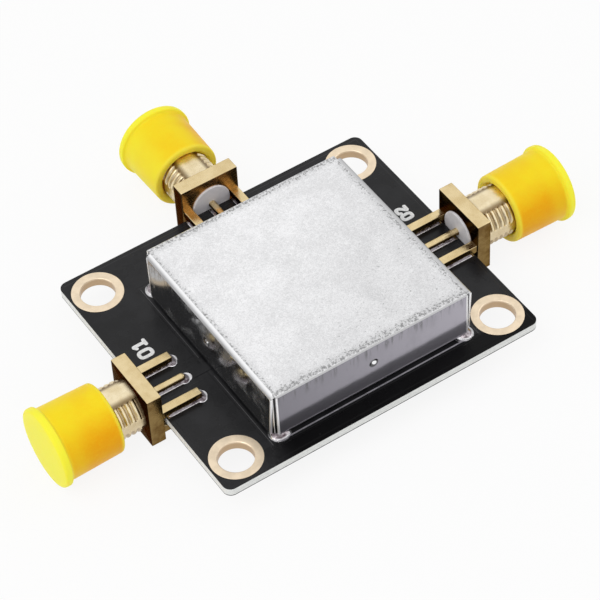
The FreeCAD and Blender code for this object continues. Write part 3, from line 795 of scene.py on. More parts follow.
def masked_land(board, sockets):
    """The shield's land: lacquered like the board, bare and tinned in a fine line along its front
    edge, in a finer one along its sides, and round the four corner holes."""
    shader = Shader("masked_land")
    x, y = shader.axes()[:2]
    land = Extent("shield_land")
    solder = Extent("shield_solder")
    front = Extent("shield_lid").low.y - 0.6
    across = abs(x - land.middle.x)
    half_x = land.half.x
    line = shader.eased(y, front + 0.14, front + 0.18, 1.0, 0.0)
    line = line * shader.eased(across, half_x - 0.6, half_x - 0.7)
    ends = shader.eased(across, half_x - 0.07, half_x - 0.05) * 0.12
    from_x = abs(abs(x - solder.middle.x) - (solder.half.x - SOLDER_REACH))
    from_y = abs(abs(y - solder.middle.y) - (solder.half.y - SOLDER_REACH))
    rings = shader.eased(from_x * from_x + from_y * from_y, 1.45, 1.70, 1.0, 0.0)
    bare = line.larger(ends).larger(rings)
    mask, rough, gloss = lacquer(shader, x, y, board)
    wave = shader.noise(1.2, 2.0, 0.5, distortion=0.3)
    base = scaled(sockets.solder_colour, 0.72)
    tin = shader.mixed(shader.eased(wave, 0.35, 0.7), base, scaled(base, 0.74))
    return shader.finish(
        Base_Color=shader.mixed(bare, mask, tin),
        Metallic=bare,
        Roughness=rough,
        Specular_IOR_Level=0.12,
        Coat_Weight=gloss * (1 - bare),
        Coat_Roughness=0.2,
        Normal=shader.bump(wave, 0.04, 0.5))


def masked_copper(colours):
    """Track under the lacquer, with the fine grain of the copper below."""
    shader = Shader("masked_copper")
    x, y = shader.axes()[:2]
    shade, rough, gloss = lacquer(shader, x, y, colours)
    return shader.finish(
        Base_Color=shade,
        Roughness=rough,
        Specular_IOR_Level=0.12,
        Coat_Weight=gloss,
        Coat_Roughness=0.2,
        Normal=shader.bump(shader.noise(12.0, 2.0, 0.6), 0.006, 0.5))


def cap_plastic(colours):
    """Soft translucent yellow polyethylene, with painted shade where the barrel is behind the wall and on the
    side away from the lamp, painted light towards it, and pale at the thin lip."""
    shader = Shader("yellow_polyethylene")
    x_part, y_part, z_part = shader.facing()
    along = shader.attribute("along")
    cloud = shader.noise(0.30, 2.0, 0.5)
    haze = shader.noise(3.2, 3.0, 0.6)
    rim = shader.eased(along, 0.80, 0.90)
    shade = shader.eased(x_part * 0.75 - y_part * 0.75 - z_part * 0.5, -0.26, 0.52) * (1 - rim)
    lit = shader.eased(x_part, -0.30, -0.85) * (1 - rim)
    # Painted shade where the barrel stands behind the wall
    behind = shader.eased(along, 0.50, 0.72, 1.0, 0.0) * shader.eased(along, 0.0, 0.10)
    body = colours.body_colour
    depth = behind * (shader.eased(cloud, 0.35, 0.65) * 0.18 + 0.04) + shade * (behind * 0.22 + 0.56)
    tint = shader.mixed(depth, body, scaled(body, 0.92, 0.56, 0.1))
    tint = shader.mixed(lit * 0.45, tint, colours.rim_colour)
    tint = shader.mixed(shader.eased(along, 0.07, 0.02), tint, colours.lip_colour)
    tint = shader.mixed(rim, tint, colours.rim_colour)
    tint = shader.mixed(shader.eased(haze, 0.3, 0.8) * 0.10, tint, colours.rim_colour)
    normal = shader.bump(shader.noise(0.8, 2.0, 0.5), 0.06, 0.5)
    return shader.finish(
        Base_Color=tint,
        Roughness=shader.eased(haze, 0.2, 0.8, 0.38, 0.50),
        Specular_IOR_Level=0.20,
        Specular_Tint=(1.0, 0.86, 0.45, 1.0),
        Subsurface_Weight=0.35,
        Subsurface_Radius=(1.0, 0.62, 0.12),
        Subsurface_Scale=1.6 * MM,
        Normal=shader.bump(haze, 0.012, 0.5, normal))


def mixer_plastic():
    """Dark moulded header with fine mould grain."""
    shader = Shader("mixer_header")
    grain = shader.noise(7.0, 3.0, 0.6)
    return shader.finish(
        Base_Color=shader.mixed(shader.eased(grain, 0.3, 0.7), (0.020, 0.020, 0.022), (0.036, 0.036, 0.038)),
        Roughness=shader.eased(grain, 0.2, 0.8, 0.45, 0.6),
        Normal=shader.bump(grain, 0.01, 0.7))


FINISHES = {}


def carry_over(node, material):
    """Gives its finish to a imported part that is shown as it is."""
    mesh = nodes[node].data
    mesh.materials.clear()
    mesh.materials.append(material)


# Board pieces


def hole_ring(node, edge):
    """A lining with a flat ring at each end: its section is carried round the hole's centre."""
    hole = Extent(node)
    outer = hole.half.x
    inner = HOLE_RADIUS
    top = hole.high.z
    bottom = hole.low.z
    section = softened(
        [(top - PLATING, outer), (top, outer), (top, inner), (bottom, inner), (bottom, outer),
         (bottom + PLATING, outer), (bottom + PLATING, inner + LINING), (top - PLATING, inner + LINING)],
        [0.0, 0.04, edge, edge, 0.04, 0.0, 0.0, 0.0], 5, True)
    place = Place((hole.middle.x, hole.middle.y, 0), (0, 0, 1), (1, 0, 0), (0, 1, 0))
    return surface(place.put(turned(section, 96)), True, True)


class MIXER_OT_board(bpy.types.Operator):
    """Finishes the board, its plated holes and its tracks"""

    bl_idname = "mixer.board"
    bl_label = "Board and holes"

    def execute(self, context):
        settings = context.scene.mixer_board
        sockets = context.scene.mixer_sockets
        FINISHES["board"] = solder_mask(settings)
        FINISHES["track"] = masked_copper(settings)
        FINISHES["plating"] = hole_plating(settings)
        FINISHES["tinned"] = tinned_copper(sockets)
        carry_over("board", FINISHES["board"])
        carry_over("signal_tracks", FINISHES["track"])
        carry_over("shield_land", masked_land(settings, sockets))
        for node in sorted(n for n in nodes if n.startswith("hole_plating_")):
            name = node.replace("hole_plating", "hole_ring")
            shape = hole_ring(node, in_mm(settings.ring_edge))
            add_piece(name, [shape], FINISHES["plating"], [node], 50.0)
        return {"FINISHED"}


DIGITS = {
    "0": [[(0.31, 1.0), (0.06, 0.97), (0.0, 0.72), (0.0, 0.28), (0.06, 0.03), (0.31, 0.0),
           (0.56, 0.03), (0.62, 0.28), (0.62, 0.72), (0.56, 0.97), (0.31, 1.0)]],
    "1": [[(0.12, 0.80), (0.36, 1.0), (0.36, 0.0)], [(0.14, 0.0), (0.58, 0.0)]],
    "2": [[(0.0, 0.78), (0.04, 0.99), (0.31, 1.0), (0.60, 0.99), (0.62, 0.66), (0.44, 0.42),
           (0.0, 0.0), (0.62, 0.0)]],
}


def stroke(corners, width, height):
    """A printed stroke: (place on the line) + side * s * w, with height h sqrt(1 - s^4).

    The half width w follows a half circle at both ends, so the stroke closes there."""
    line = softened(corners, 0.22, 6)
    reach = line_length(line)
    half = width / 2
    turn = np.linspace(0, np.pi / 2, 7)[:-1]
    first = half * (1 - np.cos(turn)) - half
    distances = np.concatenate([first, np.linspace(0, reach, 40), (reach - first)[::-1]])
    start = line[0] - line[1]
    end = line[-1] - line[-2]
    long_line = np.concatenate([[line[0] + start / np.linalg.norm(start) * half], line,
                                [line[-1] + end / np.linalg.norm(end) * half]])
    path = resampled(long_line, distances + half)
    ahead = np.gradient(path, axis=0)
    ahead = ahead / np.maximum(np.linalg.norm(ahead, axis=1, keepdims=True), 1e-9)
    side = np.stack([ahead[:, 1], -ahead[:, 0]], -1)
    outside = np.maximum(0, np.maximum(-distances, distances - reach)) / half
    wide = half * np.sqrt(np.maximum(0, 1 - outside ** 2))
    s = np.linspace(-1, 1, 9)
    rise = height * np.sqrt(np.maximum(0, 1 - s ** 4))
    flat = path[:, None, :] + side[:, None, :] * (s[None, :] * wide[:, None])[:, :, None]
    lift = rise[None, :] * (wide / half)[:, None]
    top = np.concatenate([flat, lift[:, :, None]], -1)
    under = top.copy()[:, ::-1]
    under[:, :, 2] = 0.0
    return surface(np.concatenate([top, under[:, 1:-1]], 1), False, True)


def number(text, place, size, width, height):
    """Strokes of plain digits, one after another along the reading direction, each of them size high."""
    shapes = []
    for index, digit in enumerate(text):
        for corners in DIGITS[digit]:
            line = np.array(corners) * size + np.array([index * size * 0.92, 0])
            points, quads = stroke(line, width, height)
            shapes.append((place.put(points), quads))
    return shapes


class MIXER_OT_numbers(bpy.types.Operator):
    """Prints a plain number beside the left and the right socket"""

    bl_idname = "mixer.numbers"
    bl_label = "Printed numbers"

    def execute(self, context):
        settings = context.scene.mixer_board
        FINISHES["ink"] = ink(settings)
        width = in_mm(settings.stroke_width)
        height = in_mm(settings.ink_height)
        left = ("number_left", "01", (-17.0, 3.15), 1.56)
        right = ("number_right", "02", (18.62, 3.3), 1.25)
        for name, text, corner, size in (left, right):
            place = Place((*corner, BOARD_TOP), (0, 1, 0), (-1, 0, 0))
            add_piece(name, number(text, place, size, width, height), FINISHES["ink"])
        return {"FINISHED"}


# Shield pieces


def folded(distance, half, radius):
    """A straight line bent down over a quarter circle: gives (place across, drop).

    The distance along the sheet is straight up to half - radius, then an arc, then straight down."""
    size = np.abs(distance)
    sign = np.sign(distance)
    flat = half - radius
    angle = np.clip((size - flat) / radius, 0, np.pi / 2)
    across = np.minimum(size, flat) + radius * np.sin(angle)
    drop = radius * (1 - np.cos(angle)) + np.maximum(0, size - flat - radius * np.pi / 2)
    return sign * across, drop


def dents(x, y, depth):
    """Slow waves of the sheet: depth * (w - h) / h, never above nought, where w is the sum of three
    waves and h the sum of their heights."""
    wave = np.sin(0.31 * x + 0.9) * np.sin(0.27 * y - 0.4)
    wave = wave + 0.6 * np.sin(0.52 * x - 0.33 * y + 2.1)
    wave = wave + 0.35 * np.sin(0.83 * y + 0.47 * x + 0.6)
    heights = 1 + 0.6 + 0.35
    return depth * (wave - heights) / heights


def lid_sheet(settings):
    """The lid's outer skin: a top whose four edges are bent, and a wall hung from each of them.

    The top is top - max(drop across x, drop across y), each drop from folded(), with its cells left
    out where both distances pass the slits. A wall's rows keep the places of the bend above them,
    drawn in by the slit at either end, which changes on its way down, and the wall leans out by the
    splay. A dimple pushes it in by depth * (1 - (r / R)^2)^1.2 at distance r."""
    lid = Extent("shield_lid")
    centre = lid.middle
    halves = lid.half[:2]
    top = lid.high.z
    foot = lid.low.z
    radius = in_mm(settings.bend)
    reach = 1.1 * in_mm(settings.dimple_radius)
    dimple_z = BOARD_TOP + in_mm(settings.dimple_height)
    slits = ((settings.front_slit, settings.front_slit), (settings.side_slit_front, settings.side_slit_back))
    turn = np.linspace(0, np.pi / 2, 10)
    sheets = []
    ends = []
    for half, pair in zip(halves, slits):
        flat = half - radius
        gaps = [in_mm(slit[0]) for slit in pair]
        first, last = [half - gap if gap > radius else flat + radius * math.asin(1 - gap / radius)
                       for gap in gaps]
        bent = flat + radius * turn[1:]
        every = np.concatenate([-bent[::-1], spaced(-flat, flat, 0.38, 0.0, reach, 0.07), bent])
        every = every[(np.abs(every + first) > 0.03) & (np.abs(every - last) > 0.03)]
        sheets.append(np.sort(np.append(every, (-first, last))))
        ends.append((-first, last))
    u, v = np.meshgrid(*sheets, indexing="ij")
    x, drop_x = folded(u, halves[0], radius)
    y, drop_y = folded(v, halves[1], radius)
    level = dents(x, y, in_mm(settings.dent)) * eased(np.maximum(drop_x, drop_y), 0.25, 0.0)
    points = np.stack([centre.x + x, centre.y + y, top - np.maximum(drop_x, drop_y) + level], -1)
    rows, columns = points.shape[:2]
    quads = grid_quads(rows, columns)
    cells = np.divmod(quads[:, 0], columns)
    past = []
    for sheet, (first, last), cell in zip(sheets, ends, cells):
        middle = (sheet[cell] + sheet[cell + 1]) / 2
        past.append((middle < first) | (middle > last))
    shapes = [(points.reshape(-1, 3), quads[~(past[0] & past[1])])]

    levels = spaced(foot, top - radius, 0.36, dimple_z, reach, 0.07)[::-1]
    share = ((top - radius - levels) / (top - radius - foot))[:, None]
    for axis in (0, 1):
        first, last = ends[1 - axis]
        line = sheets[1 - axis]
        line = folded(line[(line > first - 0.001) & (line < last + 0.001)], halves[1 - axis], radius)[0]
        drawn_in = [in_mm(slit[1] - slit[0]) * share for slit in slits[1 - axis]]
        part = (line - line[0]) / (line[-1] - line[0])
        along = line + (1 - part) * drawn_in[0] - part * drawn_in[1]
        z = np.repeat(levels[:, None], len(line), 1)
        distance = np.sqrt(along ** 2 + (z - dimple_z) ** 2) / in_mm(settings.dimple_radius)
        inward = in_mm(settings.dimple_depth) * np.maximum(0, 1 - distance ** 2) ** 1.2
        inward = inward - in_mm(settings.splay) * share
        for sign in (-1, 1):
            wall = [None, None, z]
            wall[axis] = centre[axis] + sign * (halves[axis] - inward)
            wall[1 - axis] = centre[1 - axis] + along
            shapes.append(surface(np.stack(wall, -1)))
    return shapes


def solder_lump(centre, base, up, radius, height, phase):
    """A frozen drop: height (1 - r^2)^0.6 times a few slow waves round the centre, and its rim mark."""
    steps = 56
    r = np.sin(np.linspace(0, np.pi / 2, 16))[:, None]
    angle = np.linspace(0, 2 * np.pi, steps, endpoint=False)[None, :]
    outline = 1 + 0.07 * np.sin(2 * angle + phase) + 0.05 * np.sin(3 * angle - 2 * phase)
    lumps = 1 + 0.22 * r * np.sin(2 * angle + 1.7 * phase) + 0.12 * r * np.sin(5 * angle + phase)
    rise = height * (1 - r ** 2) ** 0.6 * lumps
    x = centre[0] + radius * r * outline * np.cos(angle)
    y = centre[1] + radius * r * outline * np.sin(angle)
    dome = np.stack([x, y, base + up * rise], -1)
    foot = np.repeat([[[centre[0], centre[1], base]]], steps, 1)
    rim = np.concatenate([0.25 + 0.75 * r ** 2 + 0 * angle, np.ones((1, steps))])
    return surface(np.concatenate([dome, foot]), False, True), rim


class MIXER_OT_shield(bpy.types.Operator):
    """Folds the shield's lid and finishes its frame and corner solder"""

    bl_idname = "mixer.shield"
    bl_label = "Shield"

    def execute(self, context):
        settings = context.scene.mixer_shield
        FINISHES["lid"] = tinned_steel(settings, "tin_plate_lid")
        FINISHES["frame"] = tinned_steel(settings, "tin_plate_frame", 0.07)
        FINISHES["solder"] = solder_metal(context.scene.mixer_sockets)
        lid = add_piece("lid_shell", lid_sheet(settings), FINISHES["lid"], ["shield_lid"])
        if sum(face.normal.z for face in lid.data.polygons) < 0:
            lid.data.flip_normals()
        wall = lid.modifiers.new("thickness", "SOLIDIFY")
        wall.thickness = settings.sheet
        wall.offset = -1.0
        edge = lid.modifiers.new("edge", "BEVEL")
        edge.width = 0.045 * MM
        edge.segments = 2
        edge.limit_method = "ANGLE"
        edge.angle_limit = math.radians(60)
        settle(lid, 40.0)
        carry_over("shield_frame", FINISHES["frame"])
        solder = Extent("shield_solder")
        radius = SOLDER_REACH
        corners = [(x, y) for x in (solder.low.x + radius, solder.high.x - radius)
                   for y in (solder.low.y + radius, solder.high.y - radius)]
        for index, corner in enumerate(corners):
            name = "corner_solder_" + ("front", "back")[index % 2] + "_" + ("left", "right")[index // 2]
            lumps = [solder_lump(corner, COPPER_TOP, 1, radius, 0.50, 1.3 + index),
                     solder_lump(corner, COPPER_BOTTOM, -1, 0.94 * radius, 0.30, 4.1 + index)]
            shapes = [lump[0] for lump in lumps]
            add_piece(name, shapes, FINISHES["solder"], ["shield_solder"], 60.0,
                      {"rim": [lump[1] for lump in lumps]})
        return {"FINISHED"}


class MIXER_OT_mixer(bpy.types.Operator):
    """Finishes the mixer package under the shield"""

    bl_idname = "mixer.mixer"
    bl_label = "Mixer package"

    def execute(self, context):
        FINISHES["header"] = mixer_plastic()
        for node in ("mixer_base", "mixer_cover"):
            carry_over(node, FINISHES["header"])
        for node in ("mixer_leads", "mixer_lands"):
            carry_over(node, FINISHES["tinned"])
        return {"FINISHED"}


# Socket pieces


def square_outline(half_across, half_up, radius, side_steps=12, corner_steps=5):
    """A rectangle with rounded corners: centre + radius (cos t, sin t) at each corner, joined straight."""
    t = np.linspace(0, np.pi / 2, corner_steps)
    corners = []
    for index, (x, y) in enumerate(((1, 1), (-1, 1), (-1, -1), (1, -1))):
        centre = np.array([x * (half_across - radius), y * (half_up - radius)])
        angle = t + index * np.pi / 2
        corners.append(centre + radius * np.stack([np.cos(angle), np.sin(angle)], -1))
    share = np.linspace(0, 1, side_steps + 1)[1:-1, None]
    line = []
    for index, corner in enumerate(corners):
        ahead = corners[(index + 1) % 4][0]
        line.append(corner)
        line.append(corner[-1] * (1 - share) + ahead * share)
    return np.concatenate(line)


def flange_plate(half_across, half_up, edge, front=FLANGE_FRONT, back=FLANGE_BACK, hole=FLANGE_HOLE):
    """A four-cornered plate with a round hole: its section is carried round the outline.

    Each section goes through the hole, over the board side face, the rounded edge and the outer face."""
    corner = 0.06
    chamfer = 0.08
    turn = np.linspace(0, np.pi / 2, 5)
    insets = edge * (1 - np.sin(turn))
    depths = edge * (1 - np.cos(turn))

    def outline(inset):
        return square_outline(half_across - inset, half_up - inset, corner + edge - inset)

    outer = outline(0.0)
    direction = outer / np.linalg.norm(outer, axis=1, keepdims=True)
    rows = [(direction * hole, back), (direction * hole, front + chamfer)]
    rows.append((direction * (hole + chamfer), front))
    rows += [(outline(inset), front + depth) for inset, depth in zip(insets, depths)]
    rows += [(outline(inset), back - depth) for inset, depth in zip(insets[::-1], depths[::-1])]
    return np.stack([np.concatenate([np.full((len(flat), 1), at), flat], 1) for flat, at in rows])


def rod(outline, start, end, edge):
    """A bar along the axis, closed at both ends: outline * scale, and at its end rounded by a quarter
    circle, where the scale is 1 - (1 - cos a) edge / half width."""
    turn = np.linspace(0, np.pi / 2, 5)
    narrowing = 1 - (1 - np.cos(turn)) * edge / np.abs(outline).max()
    rounding = end - np.sign(end - start) * edge * (1 - np.sin(turn))
    scales = np.concatenate([[0, 1], narrowing, [0]])
    places = np.concatenate([[start, start], rounding, [end]])
    flat = outline[None] * scales[:, None, None]
    along = np.broadcast_to(places[:, None, None], flat.shape[:2] + (1,))
    return np.concatenate([along, flat], -1)


def barrel_tube(settings, start, end):
    """The threaded tube. At angle a and place u its radius is the least of three:

    the thread, root + (crest - root) * clipped triangle wave of u / pitch - a / 2 pi,
    the four flats, flat distance / max(|cos a|, |sin a|), and the chamfer at the open end.
    Inside the four bands along the flats it is a smooth cylinder. With the points come two marks for
    painted shade: how near a place is to the edge of an upright band or to the flange, and how deep it
    lies in the thread."""
    steps = 240
    crest = in_mm(settings.thread_radius)
    root = in_mm(settings.root_radius)
    pitch = in_mm(settings.thread_pitch)
    u = np.linspace(start, end, 150)[:, None]
    angle = np.linspace(0, 2 * np.pi, steps, endpoint=False)[None, :]
    phase = (u - start) / pitch - angle / (2 * np.pi)
    wave = np.abs(2 * (phase - np.floor(phase)) - 1)
    rise = np.clip((wave - 0.16) / 0.56, 0, 1)
    rise = rise * eased(u, start + 0.25, start + 0.6)
    radius = root + (crest - root) * rise
    lean = np.maximum(np.abs(np.cos(angle)), np.abs(np.sin(angle)))
    flat = in_mm(settings.flat_distance) / lean
    upright = in_mm(settings.upright_band) / 2
    side = in_mm(settings.side_band) / 2
    level = np.abs(np.cos(angle)) * crest
    band = np.maximum(eased(level, upright + 0.16, upright - 0.04),
                      eased(np.abs(np.sin(angle)) * crest, side + 0.16, side - 0.04))
    # Painted shade in the thread roots
    painted_root_shade = (1 - band) * (1 - rise)
    # Painted shade at the edges of the upright bands and next to the flange
    painted_seam_shade = np.where(level < upright, eased(level, upright - 0.75, upright - 0.05),
                    eased(level, upright + 0.22, upright + 0.08)) + 0 * u
    painted_seam_shade = np.maximum(painted_seam_shade, 0.6 * eased(u, start + 0.7, start + 0.1))
    radius = radius * (1 - band) + (crest - 0.06) * band
    radius = np.minimum(radius, flat)
    radius = np.minimum(radius, crest - eased(u, end - 0.35, end) * (crest - root + 0.05))
    outside = np.stack([u + 0 * angle, radius * np.cos(angle), radius * np.sin(angle)], -1)
    mouth_radius = BORE_RADIUS + 0.25
    mouth = np.array([(end, mouth_radius + 0.05), (end - 0.05, mouth_radius), (end - 0.5, mouth_radius),
                      (end - 0.5, BORE_RADIUS), (start - 0.3, BORE_RADIUS)])
    inside = turned(mouth, steps)
    hidden = np.zeros(inside.shape[:2])
    return np.concatenate([outside, inside]), np.concatenate([painted_seam_shade, hidden]), np.concatenate([painted_root_shade, hidden])


def solder_skirt(half, tip, heel, foot_side, foot_tip, height, phase):
    """Solder round three sides of a leg, its section carried along a U-shaped path.

    At share q of its foot the section is height * (0.86 (1 - q)^1.9 + 0.14 sqrt(1 - q^2))."""
    bend = min(half, 0.3)
    line = softened([(heel, half), (tip, half), (tip, -half), (heel, -half)], bend, 8)
    reach = line_length(line)
    distances = np.linspace(0, reach, SKIRT_STEPS)
    path = resampled(line, distances)
    ahead = np.gradient(path, axis=0)
    ahead = ahead / np.linalg.norm(ahead, axis=1, keepdims=True)
    out = np.stack([ahead[:, 1], -ahead[:, 0]], -1)
    near_tip = eased(path[:, 0], tip + 0.7, tip)
    uneven = 1 + 0.10 * np.sin(5.1 * distances + phase) + 0.07 * np.sin(11.7 * distances + 2 * phase)
    taper = eased(np.minimum(distances, reach - distances), -0.02, 0.35)
    foot = (foot_side + (foot_tip - foot_side) * near_tip) * (0.5 + 0.5 * taper)
    tall = height * uneven * taper
    q = np.linspace(0, 1, SKIRT_RISE)
    fall = 0.86 * (1 - q) ** 1.9 + 0.14 * np.sqrt(np.maximum(0, 1 - q ** 2))
    offset = q[None, :] * (foot[:, None] + 0.04) - 0.04
    flat = path[:, None, :] + out[:, None, :] * offset[:, :, None]
    rise = tall[:, None] * fall[None, :]
    skin = np.concatenate([flat, rise[:, :, None]], -1)
    base = skin[:, :1].copy()
    base[:, :, 2] = 0.0
    return np.concatenate([base, skin], 1)


class MIXER_OT_sockets(bpy.types.Operator):
    """Turns and threads the three sockets, with their legs, insulators and solder"""

    bl_idname = "mixer.sockets"
    bl_label = "Sockets"

    def execute(self, context):
        settings = context.scene.mixer_sockets
        FINISHES["gold"] = gold_plate(settings)
        FINISHES["barrel"] = barrel_gold(settings)
        FINISHES["insulator"] = insulator_plastic(settings)
        for side in SIDES:
            self.make(side, settings)
        return {"FINISHED"}

    def make(self, side, settings):
        """One socket. Its own shapes are worked out with the axis at height nought."""
        place = socket_place(side)
        board_to_axis = place.origin[2]
        body = "socket_body_" + side
        half = Extent(body).half
        plate = flange_plate(half.x if side == "back" else half.y, half.z, in_mm(settings.edge))
        add_piece("flange_" + side, [surface(place.put(plate), True, True)],
                  FINISHES["gold"], [body])

        tube, painted_seam_shade, painted_root_shade = barrel_tube(settings, FLANGE_BACK - 0.02, BARREL_END)
        add_piece("barrel_" + side, [surface(place.put(tube), True, True)],
                  FINISHES["barrel"], [body], 30.0, {"painted_seam_shade": [painted_seam_shade], "painted_root_shade": [painted_root_shade]})

        bar = rod(square_outline(LEG_HALF, LEG_HALF, 0.07, 4, 4), FLANGE_FRONT + 0.4, LEG_TIP, 0.10)
        legs = []
        for sign in (-1, 1):
            for height in (COPPER_TOP + LEG_HALF, COPPER_BOTTOM - LEG_HALF):
                leg = bar + np.array([0, sign * LEG_OFFSET, height - board_to_axis])
                legs.append(surface(place.put(leg), False, True))
        add_piece("legs_" + side, legs, FINISHES["gold"], [body])

        face, step, end = (FLANGE_FRONT - 0.2, FLANGE_FRONT + 0.7, BARREL_END - 0.3)
        disc = softened([(face, 0.0), (face, 0.45), (face, FLANGE_HOLE), (step, FLANGE_HOLE),
                         (step, BORE_RADIUS), (end, BORE_RADIUS), (end, 0.0)],
                        [0, 0, 0.10, 0.02, 0.02, 0.1, 0], 4)
        add_piece("insulator_disc_" + side, [surface(place.put(turned(disc, 96)), False, True)],
                  FINISHES["insulator"], ["insulator_" + side])

        carry_over("contact_" + side, FINISHES["gold"])
        carry_over("pads_" + side, FINISHES["tinned"])

        joints = []
        for index, sign in enumerate((-1, 1)):
            skirt = solder_skirt(LEG_HALF, LEG_TIP, SOLDER_HEEL, 0.19, 0.62, 0.36, 1.1 + 2 * index)
            upper = skirt + np.array([0, sign * LEG_OFFSET, COPPER_TOP - board_to_axis])
            lower = skirt * np.array([1, 1, -1])
            lower = lower + np.array([0, sign * LEG_OFFSET, COPPER_BOTTOM - board_to_axis])
            joints.append(surface(place.put(upper), False, True))
            joints.append(surface(place.put(lower), False, True))
        pin = solder_skirt(0.36, LEG_TIP + 0.08, SOLDER_HEEL, 0.26, 0.55, 0.27, 0.4)
        pin = pin + np.array([0, 0, COPPER_TOP - board_to_axis])
        joints.append(surface(place.put(pin), False, True))
        rim = np.tile(np.concatenate([[0.0], np.linspace(0, 1, SKIRT_RISE)]), (SKIRT_STEPS, 1))
        add_piece("leg_solder_" + side, joints, FINISHES["solder"], ["solder_" + side], 60.0,
                  {"rim": [rim] * len(joints)})


def cap_section(settings):
    """A cap's closed section from the axis, through its bore, over the lip and the rim: a softened line
    whose long straight stretches are split into 8.

    The bore is narrow near the mouth, where it grips the thread, and wider further in."""
    end = in_mm(settings.cap_length)
    heel = end - in_mm(settings.rim_thickness)
    crown = in_mm(settings.crown)
    rim = in_mm(settings.rim_radius)
    grip = 3.19
    grip_end = 4.0
    bore = 3.45
    floor = end - 1.2
    corners = [(floor, 0.0), (floor, bore), (grip_end + 0.3, bore), (grip_end, grip), (0.3, grip), (0.0, 3.5),
               (0.0, in_mm(settings.mouth_radius)), (heel - 0.1, in_mm(settings.heel_radius)),
               (heel + 0.02, rim), (end - crown, rim - 0.02), (end - 0.35 * crown, 0.72 * rim), (end, 0.0)]
    line = softened(corners, [0, 0.3, 0.1, 0.1, 0.15, 0.2, 0.45, 0.22, 0.22, 0.34, 2.0, 0], 7)
    parts = []
    for here, ahead in zip(line, line[1:]):
        long = np.linalg.norm(ahead - here) > 1.2
        parts.append(np.linspace(here, ahead, 9)[:-1] if long else [here])
    return np.concatenate(parts + [line[-1:]])


class MIXER_OT_caps(bpy.types.Operator):
    """Moulds the three yellow dust caps"""

    bl_idname = "mixer.caps"
    bl_label = "Dust caps"

    def execute(self, context):
        settings = context.scene.mixer_caps
        FINISHES["cap"] = cap_plastic(settings)
        points = turned(cap_section(settings), 120)
        share = points[:, :, 0].reshape(-1) / in_mm(settings.cap_length)
        for side in SIDES:
            place = socket_place(side)
            cap = Extent("cap_" + side)
            mouth = {"left": place.origin[0] - cap.high.x, "right": cap.low.x - place.origin[0],
                     "back": cap.low.y - place.origin[1]}[side]
            shape = surface(place.put(points + np.array([mouth, 0, 0])), False, True)
            add_piece("dust_cap_" + side, [shape], FINISHES["cap"], ["cap_" + side], 60.0,
                      {"along": [share]})
        return {"FINISHED"}


# Stage


def white_for_eyes(tree, lit, shown, share, kind):
    """Mixes the lit shader with a share of plain white where the camera, a mirror or glass sees it."""
    def math_node(operation, first, second):
        return tree.add("ShaderNodeMath", {"operation": operation}, {0: first, 1: second}).outputs[0]

    path = tree.add("ShaderNodeLightPath").outputs
    seen = math_node("MAXIMUM", path["Is Camera Ray"], path["Is Glossy Ray"])
    seen = math_node("MAXIMUM", seen, path["Is Transmission Ray"])
    mix = tree.add("ShaderNodeMixShader", None, {
        0: math_node("MULTIPLY", seen, share), 1: lit.outputs[0], 2: shown.outputs[0]})
    tree.add(kind, None, {0: mix.outputs[0]})


def add_lamp(name, place, size, power):
    """A round lamp that looks at the frame's origin."""
    lamp = bpy.data.lights.new(name, "AREA")
    lamp.shape = "DISK"
    lamp.size = size
    lamp.energy = power
    holder = bpy.data.objects.new(name, lamp)
    bpy.context.scene.collection.objects.link(holder)
    holder.location = place
    holder.rotation_euler = (-Vector(place)).to_track_quat("-Z", "Y").to_euler()


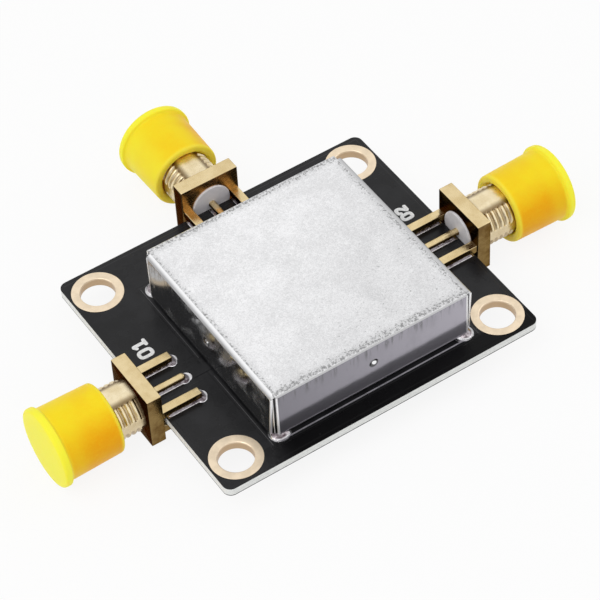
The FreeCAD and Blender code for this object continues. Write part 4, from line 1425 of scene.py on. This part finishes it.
class MIXER_OT_stage(bpy.types.Operator):
    """Sets the floor, the lamps, the room light and the camera"""

    bl_idname = "mixer.stage"
    bl_label = "Stage"

    def execute(self, context):
        settings = context.scene.mixer_stage
        self.floor(settings)
        self.room(settings)
        add_lamp("main_lamp", (-0.30, -0.05, 0.40), 0.45, settings.lamp_power)
        add_lamp("side_lamp", (0.38, -0.10, 0.28), 0.35, 0.35 * settings.lamp_power)
        self.camera(settings)
        context.scene.view_settings.view_transform = "Standard"
        return {"FINISHED"}

    def floor(self, settings):
        """A flat sheet under the part, gently turned up far from it: (x, y, lift of distance)."""
        reach = np.linspace(-1.0, 1.0, 41)
        x, y = np.meshgrid(reach, reach, indexing="ij")
        lift = 0.15 * eased(np.sqrt(x ** 2 + y ** 2), 0.8, 1.4)
        points, quads = surface(np.stack([x, y, cad_low.z + lift], -1))
        mesh = bpy.data.meshes.new("floor")
        mesh.from_pydata(points.tolist(), [], quads.tolist())
        mesh.shade_smooth()
        floor = bpy.data.objects.new("floor", mesh)
        bpy.context.scene.collection.objects.link(floor)
        material = bpy.data.materials.new("pale_floor")
        tree = Nodes(material)
        lit = tree.add("ShaderNodeBsdfDiffuse", None, {0: (*settings.floor_colour, 1.0)})
        shown = tree.add("ShaderNodeEmission")
        white_for_eyes(tree, lit, shown, settings.floor_white, "ShaderNodeOutputMaterial")
        mesh.materials.append(material)

    def room(self, settings):
        """White light from all round, which the camera sees as plain white."""
        world = bpy.data.worlds.new("studio")
        bpy.context.scene.world = world
        tree = Nodes(world)
        lit = tree.add("ShaderNodeBackground", None, {0: (1, 1, 1, 1), 1: settings.world_light})
        shown = tree.add("ShaderNodeBackground", None, {0: (1, 1, 1, 1)})
        white_for_eyes(tree, lit, shown, 1.0, "ShaderNodeOutputWorld")

    def camera(self, settings):
        """The camera at its distance from its target: azimuth a, elevation e and roll r."""
        a = settings.azimuth
        e = settings.elevation
        r = settings.roll
        back = Vector((math.sin(a) * math.cos(e), -math.cos(a) * math.cos(e), math.sin(e)))
        right = Vector((math.cos(a), math.sin(a), 0))
        up = back.cross(right)
        camera_x = right * math.cos(r) + up * math.sin(r)
        camera_y = up * math.cos(r) - right * math.sin(r)
        target = Vector(VIEW_CENTRE) * MM
        turn = Matrix((camera_x, camera_y, back)).transposed().to_4x4()
        camera = bpy.data.cameras.new("camera")
        camera.lens = settings.lens
        camera.sensor_width = 36.0
        camera.clip_start = 0.01
        camera.clip_end = 10.0
        holder = bpy.data.objects.new("camera", camera)
        bpy.context.scene.collection.objects.link(holder)
        holder.matrix_world = Matrix.Translation(target + back * settings.distance) @ turn
        bpy.context.scene.camera = holder


class MIXER_PT_panel(bpy.types.Panel):
    """Lists the pieces and their settings"""

    bl_idname = "MIXER_PT_panel"
    bl_label = "Mixer Module"
    bl_space_type = "VIEW_3D"
    bl_region_type = "UI"
    bl_category = "Mixer Module"

    def draw(self, context):
        for title, group, operators in (
                ("Board", "mixer_board", ("mixer.board", "mixer.numbers")),
                ("Shield", "mixer_shield", ("mixer.shield", "mixer.mixer")),
                ("Sockets", "mixer_sockets", ("mixer.sockets",)),
                ("Caps", "mixer_caps", ("mixer.caps",)),
                ("Stage", "mixer_stage", ("mixer.stage",))):
            box = self.layout.box()
            box.label(text=title)
            settings = getattr(context.scene, group)
            for name in settings.__annotations__:
                box.prop(settings, name)
            for operator in operators:
                box.operator(operator)


GROUPS = {
    "mixer_board": BoardSettings,
    "mixer_shield": ShieldSettings,
    "mixer_sockets": SocketSettings,
    "mixer_caps": CapSettings,
    "mixer_stage": StageSettings,
}
CLASSES = (*GROUPS.values(), MIXER_OT_board, MIXER_OT_numbers, MIXER_OT_shield, MIXER_OT_mixer,
           MIXER_OT_sockets, MIXER_OT_caps, MIXER_OT_stage, MIXER_PT_panel)


def register():
    for kind in CLASSES:
        bpy.utils.register_class(kind)
    for name, kind in GROUPS.items():
        setattr(bpy.types.Scene, name, bpy.props.PointerProperty(type=kind))


def unregister():
    for name in GROUPS:
        delattr(bpy.types.Scene, name)
    for kind in reversed(CLASSES):
        bpy.utils.unregister_class(kind)


def main():
    """Makes every piece in its order."""
    register()
    bpy.ops.mixer.board()
    bpy.ops.mixer.numbers()
    bpy.ops.mixer.shield()
    bpy.ops.mixer.mixer()
    bpy.ops.mixer.sockets()
    bpy.ops.mixer.caps()
    bpy.ops.mixer.stage()


if __name__ == "__main__":
    main()
